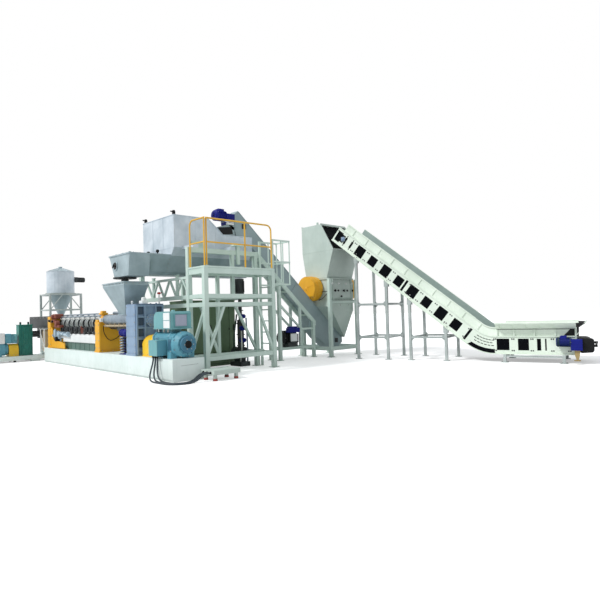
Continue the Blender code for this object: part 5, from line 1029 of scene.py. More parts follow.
for side in BOTH:
    x = CASING_MID + side * (CASING_HALF + 0.004)
    for below, ya, yb in ((0.012, 3.03, 7.12), (0.588, 3.30, 5.56)):
        bar((x, ya, casing_top(ya) - below), (x, yb, casing_top(yb) - below), 0.022, 0.008)
    bar((x, 7.12, 0.40), (x, 7.12, 0.53), 0.008, 0.022)
    bar((x, 6.50, 0.235), (x, 6.82, 0.195), 0.022, 0.008)
    bar((x, 5.98, 0.60), (x, 6.46, 0.245), 0.022, 0.008)
cut_plate([(2.888, 3.48), (2.888, 3.93), (2.70, 3.86), (2.36, 3.76), (2.49, 3.56), (2.56, 3.48)],
          -1.93, -1.635, "yz")
finish_piece("casing_hems_and_chute", casing_paint)

cut_plate([(2.33, 3.735), (2.77, 3.79), (2.82, 3.60), (2.48, 3.56)], -1.628, -1.620, "yz")
for k in range(5):
    bolt((-1.620, 2.40 + 0.085 * k, 3.73 + 0.0105 * k), RIGHT, 0.008)
finish_piece("chute_rubber_flap", belt_rubber)

for side, (y, z) in product(BOTH, ((3.20, 3.84), (6.86, 0.46))):
    x = CASING_MID + side * CASING_HALF
    block((x, y - 0.07, z - 0.07), (x + side * 0.02, y + 0.07, z + 0.07), 0.014)
    stub((x, y, z), (side * 0.045, 0.0, 0.0), 0.05, 20, 0.042)
    stub((x, y, z), (side * 0.06, 0.0, 0.0), 0.02, 12)
finish_piece("casing_bearings", dark_iron)

block((-1.865, 2.58, 3.915), (-1.625, 2.875, 3.935))
cut_plate([(2.60, 3.93), (2.66, 3.93), (2.84, 3.80), (2.88, 3.80), (2.88, 3.72), (2.82, 3.72)],
          -1.645, -1.635, "yz")
block((-1.84, 2.61, 3.84), (-1.59, 2.84, 3.90), 0.01)
finish_piece("casing_drive_bracket", white_paint)
dress_motor("casing_drive_motor", (-1.75, 2.64, 4.08), (-1.75, 2.29, 4.08), 0.13, navy_paint,
            LINE, 24)
block((-1.80, 2.42, 4.255), (-1.67, 2.56, 4.259), 0.0)
blocks(4, (0.0, 0.0, 0.05), (-1.622, 2.65, 3.97), (-1.614, 2.87, 3.982), 0.002)
finish_piece("casing_drive_ribs", navy_paint)

# %% [markdown]
# Bin and trough: rims, seams, doors and fittings
#
# The bin is folded from stainless sheet. Its rim is turned out, two dark stops in dark sleeves
# stand on the front edge, and stiffening folds run down its sides. On the trough lid stand two
# small level switches, the lid is held by a row of bolts, and the end of the trough has a black
# inspection port with a handle.

# %% Bin fittings
BIN_X, BIN_Y0, BIN_Y1 = (-3.25, -1.60), 1.00, 3.45
for x in BIN_X:
    edge = [(x, BIN_Y0, 3.93), (x, 2.01, 3.93), (x, 2.47, 3.54), (x, BIN_Y1, 3.54)]
    for p, q in zip(edge, edge[1:]):
        turned(p, q, 0.014, 8, None, 0.0)
turned((BIN_X[0], BIN_Y0, 3.93), (BIN_X[1], BIN_Y0, 3.93), 0.014, 8, None, 0.0)
for x in (BIN_X[0] - 0.003, BIN_X[1] + 0.003):
    bar((x, 1.62, 3.13), (x, 1.62, 3.915), 0.006, 0.018)
    bar((x, 2.24, 3.13), (x, 2.24, 3.72), 0.006, 0.018)
    bar((x, BIN_Y0, 3.12), (x, BIN_Y1, 3.12), 0.014, 0.006)
y = BIN_Y0 - 0.003
for x in (-2.70, -2.15):
    bar((x, y, 3.13), (x, y, 3.915), 0.018, 0.004)
bar((BIN_X[0], y, 3.12), (BIN_X[1], y, 3.12), 0.006, 0.014)
finish_piece("bin_rims_and_seams", bin_steel)

y = BIN_Y0 + 0.05
for x in (BIN_X[0] + 0.07, BIN_X[1] - 0.07):
    block((x - 0.032, y - 0.032, 3.945), (x + 0.032, y + 0.032, 4.023))
    turned((x, y, 4.005), (x, y, 4.055), 0.040, 14, 0.034, 0.006)
    turned((x, y, 4.02), (x, y - 0.09, 4.02), 0.016, 10)
for x in (-2.77, -2.27):
    turned((x, 0.90, 2.952), (x, 0.90, 3.06), 0.018, 12)
    turned((x, 0.90, 3.05), (x, 0.90, 3.12), 0.042, 14, 0.036, 0.006)
    turned((x, 0.90, 3.08), (x + 0.06, 0.90, 3.08), 0.014, 10)
finish_piece("bin_stops_and_switches", handle_plastic)

block((-1.5997, 1.49, 3.01), (-1.578, 1.87, 3.32), 0.008)
block((-1.578, 1.52, 3.04), (-1.570, 1.84, 3.29))
for z in (3.07, 3.24):
    turned((-1.57, 1.49, z - 0.02), (-1.57, 1.49, z + 0.02), 0.010, 10)
turned((-1.57, 1.83, 3.165), (-1.545, 1.83, 3.165), 0.012, 10)
block((-1.13, 2.525, 2.70), (-1.05, 2.615, 3.18), 0.006)
block((-1.20, 2.42, 3.18), (-1.02, 2.72, 3.205), 0.005)
blocks(2, (0.0, 0.24, 0.0), (-1.16, 2.43, 3.205), (-1.06, 2.47, 3.235))
finish_piece("bin_door_and_stay", frame_paint)

bolts_at((-2.90, -1.78), steps(0.02, 0.17, 6), (2.9505,), UP, 0.009)
for c, s in circle(5):
    bolt((-2.56 + 0.22 * c, 0.15 + 0.22 * s, 2.3675), DOWN, 0.010)
for y, z in product((0.445, 0.98), steps(2.52, 0.10, 4)):
    bolt((-2.024 + 0.27 * (z - 2.45) / 0.47, y, z), (1.0, 0.0, -0.5), 0.008)
bolts_at(steps(-3.30, 1.15 / 6.0, 7), (-0.0903,), (2.235,), FRONT, 0.009)
bolts_at((-2.0897,), steps(-0.03, 0.17, 4), (2.235,), RIGHT, 0.009)
bolts_at((-3.10, -2.70), (0.215, 0.39, 0.545), (1.50,), UP, 0.010)
finish_piece("trough_and_hopper_bolts", bolt_steel)

port = Vector((-2.56, -0.08, 2.68))
stub(port, (0.0, -0.018, 0.0), 0.125, 28, None, 0.004)
ring_of_bolts(port - Vector((0.0, 0.018, 0.0)), FRONT, 0.105, 8, 0.008)
finish_piece("trough_port_flange", hopper_steel)
stub(port - Vector((0.0, 0.016, 0.0)), (0.0, -0.010, 0.0), 0.088, 28, None, 0.004)
stub(port - Vector((0.0, 0.02, 0.0)), (0.0, -0.05, 0.0), 0.016, 12)
stub(port - Vector((0.05, 0.065, 0.05)), (0.10, 0.0, 0.10), 0.014, 12, None, 0.004)
finish_piece("trough_port_handle", handle_plastic)

for p, q in (((-2.92, -0.083, 2.915), (-1.76, -0.083, 2.915)),
             ((-1.757, -0.08, 2.915), (-1.757, 0.43, 2.915)),
             ((-1.762, 0.434, 2.90), (-1.842, 0.434, 2.41)),
             ((-1.842, -0.083, 2.41), (-1.762, -0.083, 2.90))):
    bar(p, q, 0.010, 0.010)
blocks(3, (0.38, 0.0, 0.0), (-2.72, -0.02, 2.951), (-2.67, 0.03, 2.985))
finish_piece("trough_folds", hopper_steel)

# %% [markdown]
# Platform: posts, plates, tread and clamps
#
# The platform is welded from square tube. Its posts end in foot plates with anchor bolts, and two
# short posts stand between its beams under the bin. The deck is one plate on three joists, and it
# takes the place of the deck in the solids. Its top is tread plate; the raised lozenges give grip
# and cross from one to the next. Hand rail posts are clamped to the deck edge.

# %% Platform fittings
feet = [*product((-0.44, -1.15, -3.65), (1.13, 3.17)), (-3.65, 2.42)]
for x, y in feet:
    cut_plate([(x - 0.10, y - 0.10), (x + 0.10, y - 0.10), (x + 0.10, y + 0.10), (x - 0.10, y + 0.10)],
              0.0005, 0.0125, "xy")
for x in (-2.99, -1.735):
    bar((x, 1.145, 1.895), (x, 1.145, 2.43), 0.075, 0.06)
    block((x - 0.07, 1.115, 2.42), (x + 0.07, 1.175, 2.435), 0.003)
blocks(3, (0.0, 0.99, 0.0), (-0.475, 1.145, 2.5605), (-0.395, 1.235, 2.568), 0.003)
finish_piece("platform_plates", frame_paint)

block((-1.0945, 1.076, 2.516), (-0.386, 3.224, 2.5595))
blocks(3, (0.0, 0.55, 0.0), (-1.09, 1.57, 2.47), (-0.50, 1.63, 2.517), 0.003)
deck = finish_piece("deck_plate", frame_paint)
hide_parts("platform_deck")

for x, y in feet:
    anchors(x, y, four(0.08), 0.0125, 0.010, 0.014)
for y in (1.19, 2.18, 3.17):
    bolts_at((-0.40,), (y - 0.03, y + 0.03), (2.568,), UP, 0.007)
bolts_at((-1.07, -0.54), (3.345,), (0.425, 1.675), BACK, 0.009)
finish_piece("platform_bolts", bolt_steel)

ACROSS, ALONG = 9, 26
LOZENGE = ((0.022, 0.0), (0.0, 0.006), (-0.022, 0.0), (0.0, -0.006))
for i, j in product(range(ACROSS), range(ALONG)):
    x, y = -1.04 + 0.60 * (i + 0.5) / ACROSS, 1.12 + 2.06 * (j + 0.5) / ALONG
    turn = math.radians(45.0 if (i + j) % 2 else -45.0)
    c, s = math.cos(turn), math.sin(turn)
    cut_plate([(x + a * c - b * s, y + a * s + b * c) for a, b in LOZENGE], 2.5602, 2.5622, "xy")
finish_piece("deck_tread", galvanised)

# %% [markdown]
# Main motor: louvres, cover bands, end shield and cable glands
#
# The direct current motor is a square frame with cut corners. Louvred covers close the windows
# over the brushes, a bolted shield carries the bearing, and its round grille is dark. The cables
# leave the terminal box through glands; each has a tapered rubber strain relief.

# %% Main motor fittings
louvre_paint = painted("steel_blue_louvre_paint", "3E7289", "2B4E60")
shield_paint = painted("deep_blue_shield_paint", "3F7A94", "2A5468")
AXIS_Y, MOTOR_Z, BARREL_Z = 0.39, 0.78, 1.26
side_y = AXIS_Y - 0.245
for x0, x1 in ((-0.985, -0.86), (-0.44, -0.27)):
    block((x0, side_y - 0.014, 0.60), (x1, side_y + 0.01, 0.94), 0.006)
for x0, x1 in ((-1.07, -0.46), (-0.40, -0.21)):
    blocks(2, (0.0, 0.0, 0.27), (x0, side_y - 0.008, MOTOR_Z - 0.147),
           (x1, side_y + 0.005, MOTOR_Z - 0.123), 0.003)
block((-0.80, AXIS_Y - 0.12, 1.045), (-0.46, AXIS_Y + 0.12, 1.066))
finish_piece("motor_cover_bands", motor_paint)

front = side_y - 0.017
for x0, x1, z0, z1 in ((-0.975, -0.87, 0.62, 0.92), (-0.43, -0.28, 0.66, 0.90)):
    block((x0, front, z0), (x1, side_y - 0.012, z1), 0.002)
    for z in steps(z0 + 0.014, 0.022, int((z1 - z0 - 0.02) / 0.022)):
        cut_plate([(front, z), (front - 0.009, z), (front, z + 0.014)], x0 + 0.008, x1 - 0.008, "yz")
finish_piece("motor_louvres", louvre_paint)

cut_plate([(AXIS_Y + 0.292 * c, MOTOR_Z + 0.285 * s) for c, s in circle(8, 22.5)], -0.165, -0.142, "yz")
turned((-0.06, AXIS_Y, MOTOR_Z), (0.002, AXIS_Y, MOTOR_Z), 0.19, 32, 0.178, 0.004)
for c, s in circle(12):
    bar((-0.012, AXIS_Y + 0.13 * c, MOTOR_Z + 0.13 * s), (-0.055, AXIS_Y + 0.235 * c, MOTOR_Z + 0.235 * s),
        0.014, 0.010)
finish_piece("motor_end_shield", shield_paint)

turned((0.004, AXIS_Y, MOTOR_Z), (0.009, AXIS_Y, MOTOR_Z), 0.084, 28, 0.080, 0.0)
for c, s in circle(16):
    bar((0.011, AXIS_Y + 0.02 * c, MOTOR_Z + 0.02 * s), (0.011, AXIS_Y + 0.078 * c, MOTOR_Z + 0.078 * s),
        0.004, 0.004)
finish_piece("motor_fan_grille", handle_plastic)

ring_of_bolts((-0.142, AXIS_Y, MOTOR_Z), RIGHT, 0.272, 8, 0.010, 22.5)
ring_of_bolts((0.030, AXIS_Y, MOTOR_Z), RIGHT, 0.107, 6, 0.008)
bolts_at((-0.94, -0.30), (AXIS_Y - 0.265, AXIS_Y + 0.265), (0.63,), UP, 0.011, 0.012)
bolts_at((-0.818, -0.492), (-0.1125,), (0.56, 0.86), FRONT, 0.007)
finish_piece("motor_bolts", bolt_steel)

block((-0.848, -0.112, 0.540), (-0.462, -0.101, 0.882), 0.006)
block((-0.845, -0.10, 0.876), (-0.465, 0.15, 0.884))
finish_piece("terminal_box_lid", blower_paint)
for k in range(3):
    x, tray_x = -0.76 + 0.10 * k, 0.49 - 0.14 * k
    turned((x, -0.05, 0.546), (x, -0.05, 0.528), 0.030, 6, None, 0.002)
    turned((x, -0.05, 0.530), (x, -0.05, 0.484), 0.027, 16, 0.0205, 0.002)
    turned((tray_x, TRAY_FRONT - 0.034, 0.175), (tray_x, TRAY_FRONT + 0.002, 0.175), 0.0215, 16, 0.028, 0.002)
finish_piece("cable_strain_reliefs", handle_plastic)

# %% [markdown]
# Motor blower
#
# The blower box is folded steel with a rounded back. Two filter panels stand on it, a white one
# on the side and a grey one at the end, each in a frame with a centre rail; bolts hold the
# flanges.

# %% Blower fittings
panel_white = painted("white_filter_panel", "F3F4F4", "C9CCCC", 0.5)
panel_grey = painted("lilac_grey_filter_panel", "AEB3C4", "858B9E", 0.5)
block((-0.565, 0.104, 1.14), (-0.275, 0.121, 1.478))
blocks(6, (0.0, 0.0, 0.052), (-0.555, 0.101, 1.165), (-0.285, 0.105, 1.169), 0.001)
finish_piece("blower_side_panel", panel_white)
block((-0.251, 0.22, 1.18), (-0.236, 0.505, 1.43))
blocks(5, (0.0, 0.0, 0.046), (-0.237, 0.23, 1.20), (-0.233, 0.495, 1.204), 0.001)
finish_piece("blower_end_panel", panel_grey)

for z in (1.130, 1.310, 1.486):
    block((-0.575, 0.098, z - 0.006), (-0.262, 0.104, z + 0.006), 0.002)
blocks(2, (0.304, 0.0, 0.0), (-0.578, 0.098, 1.13), (-0.566, 0.104, 1.486), 0.002)
blocks(2, (0.0, 0.31, 0.0), (-0.25, 0.197, 1.16), (-0.228, 0.213, 1.45), 0.002)
blocks(2, (0.0, 0.0, 0.28), (-0.25, 0.20, 1.157), (-0.228, 0.52, 1.173), 0.002)
turned((-0.63, 0.39, 1.50), (-0.63, 0.39, 1.54), 0.05, 20, 0.035)
finish_piece("blower_frames", blower_paint)
for y, axis in ((0.109, FRONT), (0.631, BACK)):
    bolts_at(steps(-1.02, 0.18, 5), (y,), (1.128,), axis, 0.008)
for x in (-0.95, -0.70, -0.52):
    turned((x, 0.20, 1.046), (x, 0.20, 1.115), 0.022, 12)
finish_piece("blower_bolts", bolt_steel)

# %% [markdown]
# Gearbox and coupling guard
#
# Between the ribs of the gear case lie cast pockets, deep in shade; dark plates laid in them paint
# that shade. Bolts run down the front plate and round the shaft covers. On top stand the white
# breather and filter housings, and a red hand knob on its stem.

# %% Gearbox fittings
# Dark plates in the pockets between the ribs: painted shade.
pocket_shade_paint = painted("shaded_pocket_paint", "3C4F63", "28384A", 0.55)
for z, (y0, y1) in product(steps(0.6753, 0.2624, 4), ((0.062, 0.234), (0.562, 0.700))):
    block((-1.771, y0, z), (-1.764, y1, z + 0.20), 0.003)
    block((-1.765, y0 + 0.03, z + 0.035), (-1.757, y1 - 0.03, z + 0.165), 0.003)
finish_piece("gearbox_pockets", pocket_shade_paint)

turned((-1.708, 0.42, 1.32), (-1.690, 0.42, 1.32), 0.105, 28, 0.098)
turned((-1.692, 0.42, 1.32), (-1.668, 0.42, 1.32), 0.052, 24, 0.044)
blocks(4, (0.0, 0.0, 0.24), (-2.24, 0.012, 0.70), (-1.79, 0.021, 0.712), 0.002)
block((-2.255, 0.03, 1.7003), (-1.735, 0.75, 1.716), 0.005)
for x in (-2.16, -1.86):
    turned((x, 0.62, 1.716), (x, 0.62, 1.742), 0.022, 12)
finish_piece("gearbox_covers", gear_paint)

ring_of_bolts((-1.708, 0.42, 1.32), RIGHT, 0.128, 10, 0.009)
ring_of_bolts((-1.708, AXIS_Y, MOTOR_Z), RIGHT, 0.112, 8, 0.008)
bolts_at((-2.235, -1.80), (0.0197,), steps(0.56, 0.18, 7), FRONT, 0.011)
bolts_at((-2.10, -1.90), (-0.005,), (0.5303,), UP, 0.009)
for y, z in arc(AXIS_Y, 0.72, 0.225, 30.0, 30.0, 5):
    bolt((-1.163, y, z), RIGHT, 0.007)
for y, axis in ((0.1397, FRONT), (0.6403, BACK)):
    bolts_at((-1.60, -1.40, -1.22), (y,), (0.53,), axis, 0.008)
finish_piece("gearbox_bolts", bolt_steel)

turned((-2.16, 0.14, 1.715), (-2.16, 0.14, 1.765), 0.022, 14, 0.018)
turned((-2.16, 0.14, 1.76), (-2.16, 0.14, 1.80), 0.034, 16, 0.024, 0.008)
block((-1.93, 0.20, 1.717), (-1.76, 0.36, 1.80), 0.012)
block((-1.90, 0.24, 1.79), (-1.79, 0.33, 1.88), 0.020)
turned((-1.97, 0.28, 1.77), (-1.93, 0.28, 1.77), 0.026, 14)
turned((-1.78, 0.66, 1.717), (-1.78, 0.66, 1.96), 0.020, 12)
finish_piece("gearbox_breathers", white_paint)
turned((-1.78, 0.66, 1.95), (-1.78, 0.66, 2.00), 0.045, 16, 0.036, 0.008)
for x in (-1.86, -1.66):
    turned((x, 0.665, 1.985), (x - 0.02, 0.665, 1.975), 0.010, 8, None, 0.002)
finish_piece("gearbox_hand_knob", red_paint)

for x in (-1.645, -1.40, -1.172):
    ring = arc(AXIS_Y, 0.72, 0.256, 0.0, 12.0, 16) + arc(AXIS_Y, 0.72, 0.249, 180.0, -12.0, 16)
    cut_plate(ring, x - 0.010, x + 0.010, "yz")
for y, out in ((0.1397, -0.03), (0.6403, 0.03)):
    block((-1.65, y, 0.4805), (-1.165, y + out, 0.488), 0.002)
finish_piece("coupling_guard_bands", cover_paint)

# %% [markdown]
# Barrel: jackets, heater bands and caps
#
# The barrel is hidden under its heaters. Each zone has two mica bands of bright steel, pulled tight
# by clamp screws, with a white ceramic connector cap on top and a thermocouple beside it. Between
# feed throat and mid support run a large pipe lagged with foil, a smaller one behind it, and a
# pipe in beige cloth on the near side. Above the zones lies the cable duct.

# %% Heater bands and caps
ceramic = painted("white_ceramic_cap", "F4F5F3", "CFCFC8", 0.3)
zones = steps(-4.45, -0.40, 8)
near = AXIS_Y - 0.175
for x, a in product(zones, (0.03, 0.17)):
    turned((x - a - 0.10, AXIS_Y, BARREL_Z), (x - a, AXIS_Y, BARREL_Z), 0.181, 32, None, 0.002)
finish_piece("heater_bands", band_steel)
for x, a in product(zones, (0.08, 0.22)):
    u = x - a
    block((u - 0.015, near - 0.022, BARREL_Z - 0.02), (u + 0.015, near + 0.004, BARREL_Z + 0.02), 0.003)
    turned((u, near - 0.015, BARREL_Z - 0.05), (u, near - 0.015, BARREL_Z + 0.05), 0.006, 8, None, 0.001)
finish_piece("heater_clamps", bolt_steel)
for x in zones:
    block((x - 0.24, AXIS_Y - 0.13, BARREL_Z + 0.10), (x - 0.08, AXIS_Y - 0.02, BARREL_Z + 0.215), 0.014)
    stub((x - 0.16, AXIS_Y - 0.13, BARREL_Z + 0.15), (0.0, -0.045, -0.01), 0.036, 16, 0.030)
    stub((x - 0.34, AXIS_Y - 0.10, BARREL_Z + 0.10), (0.0, -0.07, 0.07), 0.018, 12)
finish_piece("heater_caps", ceramic)
for x in zones:
    block((x - 0.29, AXIS_Y - 0.14, BARREL_Z + 0.13), (x - 0.255, AXIS_Y - 0.06, BARREL_Z + 0.18), 0.006)
    block((x - 0.27, near - 0.03, BARREL_Z - 0.255), (x - 0.04, near + 0.10, BARREL_Z - 0.10), 0.010)
    stub((x - 0.155, near - 0.03, BARREL_Z - 0.18), (0.0, -0.025, 0.0), 0.045, 18)
finish_piece("heater_sockets_and_fans", dark_iron)

# %% Pipes, duct and leads
turned((-3.935, 0.235, 1.36), (-2.275, 0.235, 1.36), 0.125, 32, None, 0.004)
for x in steps(-3.90, 0.19, 9):
    turned((x - 0.008, 0.235, 1.36), (x + 0.008, 0.235, 1.36), 0.129, 32, None, 0.001)
turned((-3.85, 0.40, 1.53), (-2.60, 0.40, 1.53), 0.040, 20)
finish_piece("barrel_foil_jacket", pipe_steel)
turned((-3.93, 0.165, 1.195), (-2.275, 0.165, 1.195), 0.026)
blocks(6, (0.28, 0.0, 0.0), (-3.80, 0.13, 1.16), (-3.78, 0.215, 1.255), 0.003)
finish_piece("lagged_pipes", beige_lagging)
block((-8.00, 0.32, 1.508), (-4.28, 0.42, 1.548), 0.006)
blocks(8, (0.45, 0.0, 0.0), (-7.85, 0.34, 1.44), (-7.825, 0.40, 1.51), 0.003)
turned((-7.95, 0.26, 1.47), (-4.30, 0.26, 1.47), 0.020, 14)
finish_piece("zone_cable_duct", pipe_steel)
dice = random.Random(11)
for n, x in enumerate(zones):
    p = (x - 0.16, AXIS_Y - 0.175, BARREL_Z + 0.14)
    q = (x - 0.155 + dice.uniform(-0.04, 0.04), AXIS_Y - 0.22, BARREL_Z - 0.02 + dice.uniform(-0.03, 0.02))
    s = (x - 0.155, near - 0.055, BARREL_Z - 0.17)
    bent_pipe("heater_lead_%d" % (n + 1), (p, q, s), 0.008, cable_rubber)
for x, z in ((-5.62, 1.15), (-5.50, 1.10)):
    turned((x, near - 0.05, 0.97), (x, near - 0.05, z), 0.018, 12)
    turned((x, near - 0.05, z), (x, near - 0.05, z + 0.03), 0.028, 14, 0.02)
finish_piece("red_valves", rust_paint)

# %% [markdown]
# Barrel: supports and what hangs on them
#
# The orange supports are welded plates. Bolts hold their foot flanges and saddles. On the mid
# support hangs the loop of a capillary line under a row of white connectors; on the front one
# sits the red and white gear of the screen changer with its pale blue cylinders.

# %% Support fittings
bolts_at((-4.262, -3.938, -8.237, -7.933), (0.10, 0.39, 0.68), (0.5153,), UP, 0.010)
bolts_at((-4.21, -3.99), (0.0297,), (0.60, 0.80, 1.00, 1.22), FRONT, 0.011)
bolts_at((-8.19, -7.98), (0.0197,), (0.60, 0.86, 1.12, 1.40), FRONT, 0.011)
ring_of_bolts((-8.2297, AXIS_Y, BARREL_Z), RIGHT, 0.19, 10, 0.010)
finish_piece("support_bolts", bolt_steel)
block((-4.20, 0.12, 1.50), (-4.00, 0.30, 1.545), 0.01)
block((-4.17, 0.15, 1.53), (-4.03, 0.27, 1.60), 0.014)
block((-4.19, 0.02, 1.30), (-4.01, 0.10, 1.36), 0.008)
finish_piece("mid_support_clamp", guard_paint)
for y in steps(0.20, 0.07, 5):
    turned((-3.9297, y, 1.215), (-3.905, y, 1.215), 0.016, 12, 0.012)
block((-3.94, 0.03, 1.30), (-3.87, 0.12, 1.40), 0.012)
finish_piece("mid_support_connectors", ceramic)
loop = [(-3.90, y, z) for y, z in ((0.12, 1.20), (0.15, 0.98), (0.30, 0.80), (0.50, 0.86), (0.60, 0.96))]
bent_pipe("capillary_loop", loop, 0.010, handle_plastic)

# %% Screen changer fittings
block((-7.95, 0.06, 1.42), (-7.62, 0.34, 1.58), 0.03)
turned((-7.80, 0.06, 1.50), (-7.80, 0.0, 1.50), 0.07, 20, 0.055, 0.008)
block((-7.93, 0.035, 1.30), (-7.60, 0.12, 1.40), 0.012)
turned((-7.50, 0.14, 1.27), (-7.50, 0.02, 1.27), 0.10, 20, 0.085, 0.010)
block((-7.72, 0.05, 1.14), (-7.24, 0.20, 1.22), 0.014)
finish_piece("changer_red_castings", rust_paint)
cut_plate([(-7.9445, 0.4805), (-6.68, 0.4805), (-6.68, 0.645), (-7.10, 0.705), (-7.62, 0.72), (-7.74, 0.80),
           (-7.80, 1.10), (-7.9445, 1.16)], 0.030, 0.055)
block((-7.90, 0.03, 0.4805), (-6.68, 0.10, 0.50), 0.003)
finish_piece("front_support_foot_bar", guard_paint)
turned((-7.99, 0.022, 1.36), (-7.99, -0.035, 1.36), 0.042, 18, 0.034, 0.006)
turned((-7.75, 0.05, 1.34), (-7.75, -0.02, 1.34), 0.032)
turned((-7.43, 0.13, 0.785), (-7.43, -0.01, 0.785), 0.085, 20, 0.075, 0.010)
finish_piece("changer_hand_knobs", handle_plastic)
for x, y, z, r, tall in ((-7.76, 0.10, 0.86, 0.055, 0.20), (-7.60, 0.06, 0.82, 0.045, 0.24),
                         (-7.44, 0.10, 0.80, 0.06, 0.20), (-7.27, 0.06, 0.84, 0.04, 0.16)):
    turned((x, y, z), (x, y, z + tall), r, 20, r * 0.85, 0.006)
    turned((x, y, z + tall), (x, y, z + tall + 0.04), r * 0.5, 14)
    turned((x, y, z + 0.04), (x, y - r - 0.04, z + 0.04), r * 0.4, 12)
block((-7.84, 0.06, 0.79), (-7.22, 0.22, 0.83), 0.008)
turned((-7.20, 0.07, 0.96), (-6.42, 0.07, 0.90), 0.042, 18)
for x in (-7.12, -6.86, -6.50):
    stub((x, 0.07, 0.955), (0.05, 0.0, -0.003), 0.062, 18)
for x in (-7.78, -7.30):
    bar((x, 0.12, 0.4805), (x, 0.12, 0.80), 0.04, 0.04)
cylinder_paint = painted("pale_blue_cylinder_paint", "B4C9D6", "8299A8", 0.35)
finish_piece("changer_cylinders", cylinder_paint)

# %% [markdown]
# Under the barrel and beside the gearbox
#
# A dark green channel fills the gap under the cooling trough; its dark green is painted shade of
# that gap. Small fans stand between trough and barrel, and a navy oil pump with coiled hoses
# serves the gearbox. The base shows two weld lines, one at its end and one along its foot, and
# stands on levelling bolts on its far side.

# %% Base, channel, pump and hoses
# Dark green block under the cooling trough: painted shade of the gap beneath it.
block((-7.02, 0.15, 0.4805), (-4.40, 0.63, 0.699), 0.01)
blocks(7, (0.37, 0.0, 0.0), (-6.85, 0.140, 0.50), (-6.82, 0.151, 0.68), 0.003)
shade_channel_paint = painted("painted_shade_channel_paint", "5B776E", "3F564F")
finish_piece("shade_channel_under_duct", shade_channel_paint)
for x in steps(-6.86, 0.36, 7):
    turned((x, 0.20, 0.951), (x, 0.20, 1.03), 0.06, 18, 0.05)
    block((x - 0.06, 0.15, 0.951), (x + 0.06, 0.26, 0.985), 0.006)
finish_piece("zone_fans", dark_iron)
block((-7.03, 0.112, 0.70), (-4.37, 0.119, 0.712), 0.002)
finish_piece("duct_seams", galvanised)

dress_motor("oil_pump_motor", (-2.80, 0.16, 1.02), (-2.46, 0.16, 1.02), 0.085, navy_paint,
            LINE, 20)
turned((-2.82, 0.16, 1.02), (-2.44, 0.16, 1.02), 0.085, 24)
bar((-2.62, 0.16, 0.49), (-2.62, 0.16, 0.95), 0.05, 0.05)
block((-2.80, 0.07, 0.4805), (-2.44, 0.27, 0.50), 0.005)
finish_piece("oil_pump_body", navy_paint)
for k, (x, mat) in enumerate(((-2.72, pipe_steel), (-2.52, handle_plastic))):
    coil = [(*p, 0.51 + 0.40 * i / 48.0) for i, p in enumerate(arc(x, 0.14, 0.065, 0.0, 45.0, 49))]
    bent_pipe("oil_hose_coil_%d" % (k + 1), coil, 0.017, mat)

bar((0.0015, 0.20, 0.335), (0.0015, 0.62, 0.345), 0.003, 0.010)
bar((-8.54, -0.0015, 0.047), (-0.01, -0.0015, 0.047), 0.012, 0.003)
finish_piece("base_weld_lines", galvanised)
for x in (-8.35, -6.3, -4.3, -2.3, -0.20):
    block((x - 0.05, 0.78, 0.040), (x + 0.05, 0.83, 0.055), 0.003)
    for z0, z1, r, n, edge in ((0.001, 0.085, 0.010, 10, 0.001), (0.055, 0.068, 0.018, 6, 0.001),
                               (0.001, 0.012, 0.026, 14, 0.002)):
        turned((x, 0.808, z0), (x, 0.808, z1), r, n, None, edge)
finish_piece("base_levelling_bolts", bolt_steel)

# %% [markdown]
# Second stage: blower, guard, gear case, hood and feet
#
# The second extruder lies across the end of the first. Its motor carries a white blower box, its
# deep teal gear case has vertical ribs with lifting studs on top, and dark hood plates cover the
# way from the screen changer to its feed throat.

# %% Second stage motor and gear case
S2_X = -9.72
block((S2_X + 0.20, -1.72, 0.66), (S2_X + 0.215, -1.28, 0.88), 0.006)
block((S2_X - 0.17, -1.12, 0.635), (S2_X + 0.20, -0.935, 1.00), 0.02)
blocks(5, (0.0, 0.0, 0.05), (S2_X + 0.199, -1.10, 0.72), (S2_X + 0.203, -0.955, 0.726), 0.001)
finish_piece("second_blower_panels", panel_white)
dress_motor("second_blower_motor", (S2_X + 0.04, -0.88, 0.82), (S2_X + 0.04, -0.56, 0.82), 0.12, blower_paint,
            LINE, 24)
turned((S2_X + 0.04, -0.94, 0.82), (S2_X + 0.04, -0.555, 0.82), 0.12, 24)
block((S2_X - 0.14, -0.93, 0.635), (S2_X + 0.17, -0.72, 0.97), 0.03)
block((S2_X - 0.10, -0.72, 0.635), (S2_X + 0.14, -0.56, 0.74), 0.012)
for x, y in product((S2_X - 0.202, S2_X + 0.202), steps(-1.76, 0.09, 9)):
    bar((x, y, 0.34), (x, y, 0.54), 0.006, 0.02)
turned((S2_X, -0.90, 0.44), (S2_X, -0.845, 0.44), 0.20, 28, 0.19)
finish_piece("second_motor_ribs", motor_paint)

S2_RIBS = ((-0.50, 0.16), (-0.40, 0.19), (-0.30, 0.19), (-0.20, 0.19), (-0.10, 0.16))
for side, (y, out) in product(BOTH, S2_RIBS):
    block((S2_X + side * out, y - 0.008, 0.22), (S2_X + side * (out + 0.018), y + 0.008, 1.17), 0.003)
block((S2_X - 0.18, -0.53, 1.2403), (S2_X + 0.18, -0.06, 1.258), 0.005)
for z in (0.5, 0.86):
    turned((S2_X + 0.19, -0.295, z), (S2_X + 0.215, -0.295, z), 0.08, 24)
finish_piece("second_gear_ribs", second_gear_paint)
for y in (-0.42, -0.17):
    turned((S2_X, y, 1.295), (S2_X, y, 1.35), 0.036, 16, 0.026, 0.008)
for x, y in product((S2_X - 0.30, S2_X + 0.30), (-1.6, -0.68, -0.1, 1.2, 2.3)):
    turned((x, y, 0.001), (x, y, 0.055), 0.045, 16, 0.038, 0.004)
finish_piece("second_knobs_and_feet", handle_plastic)

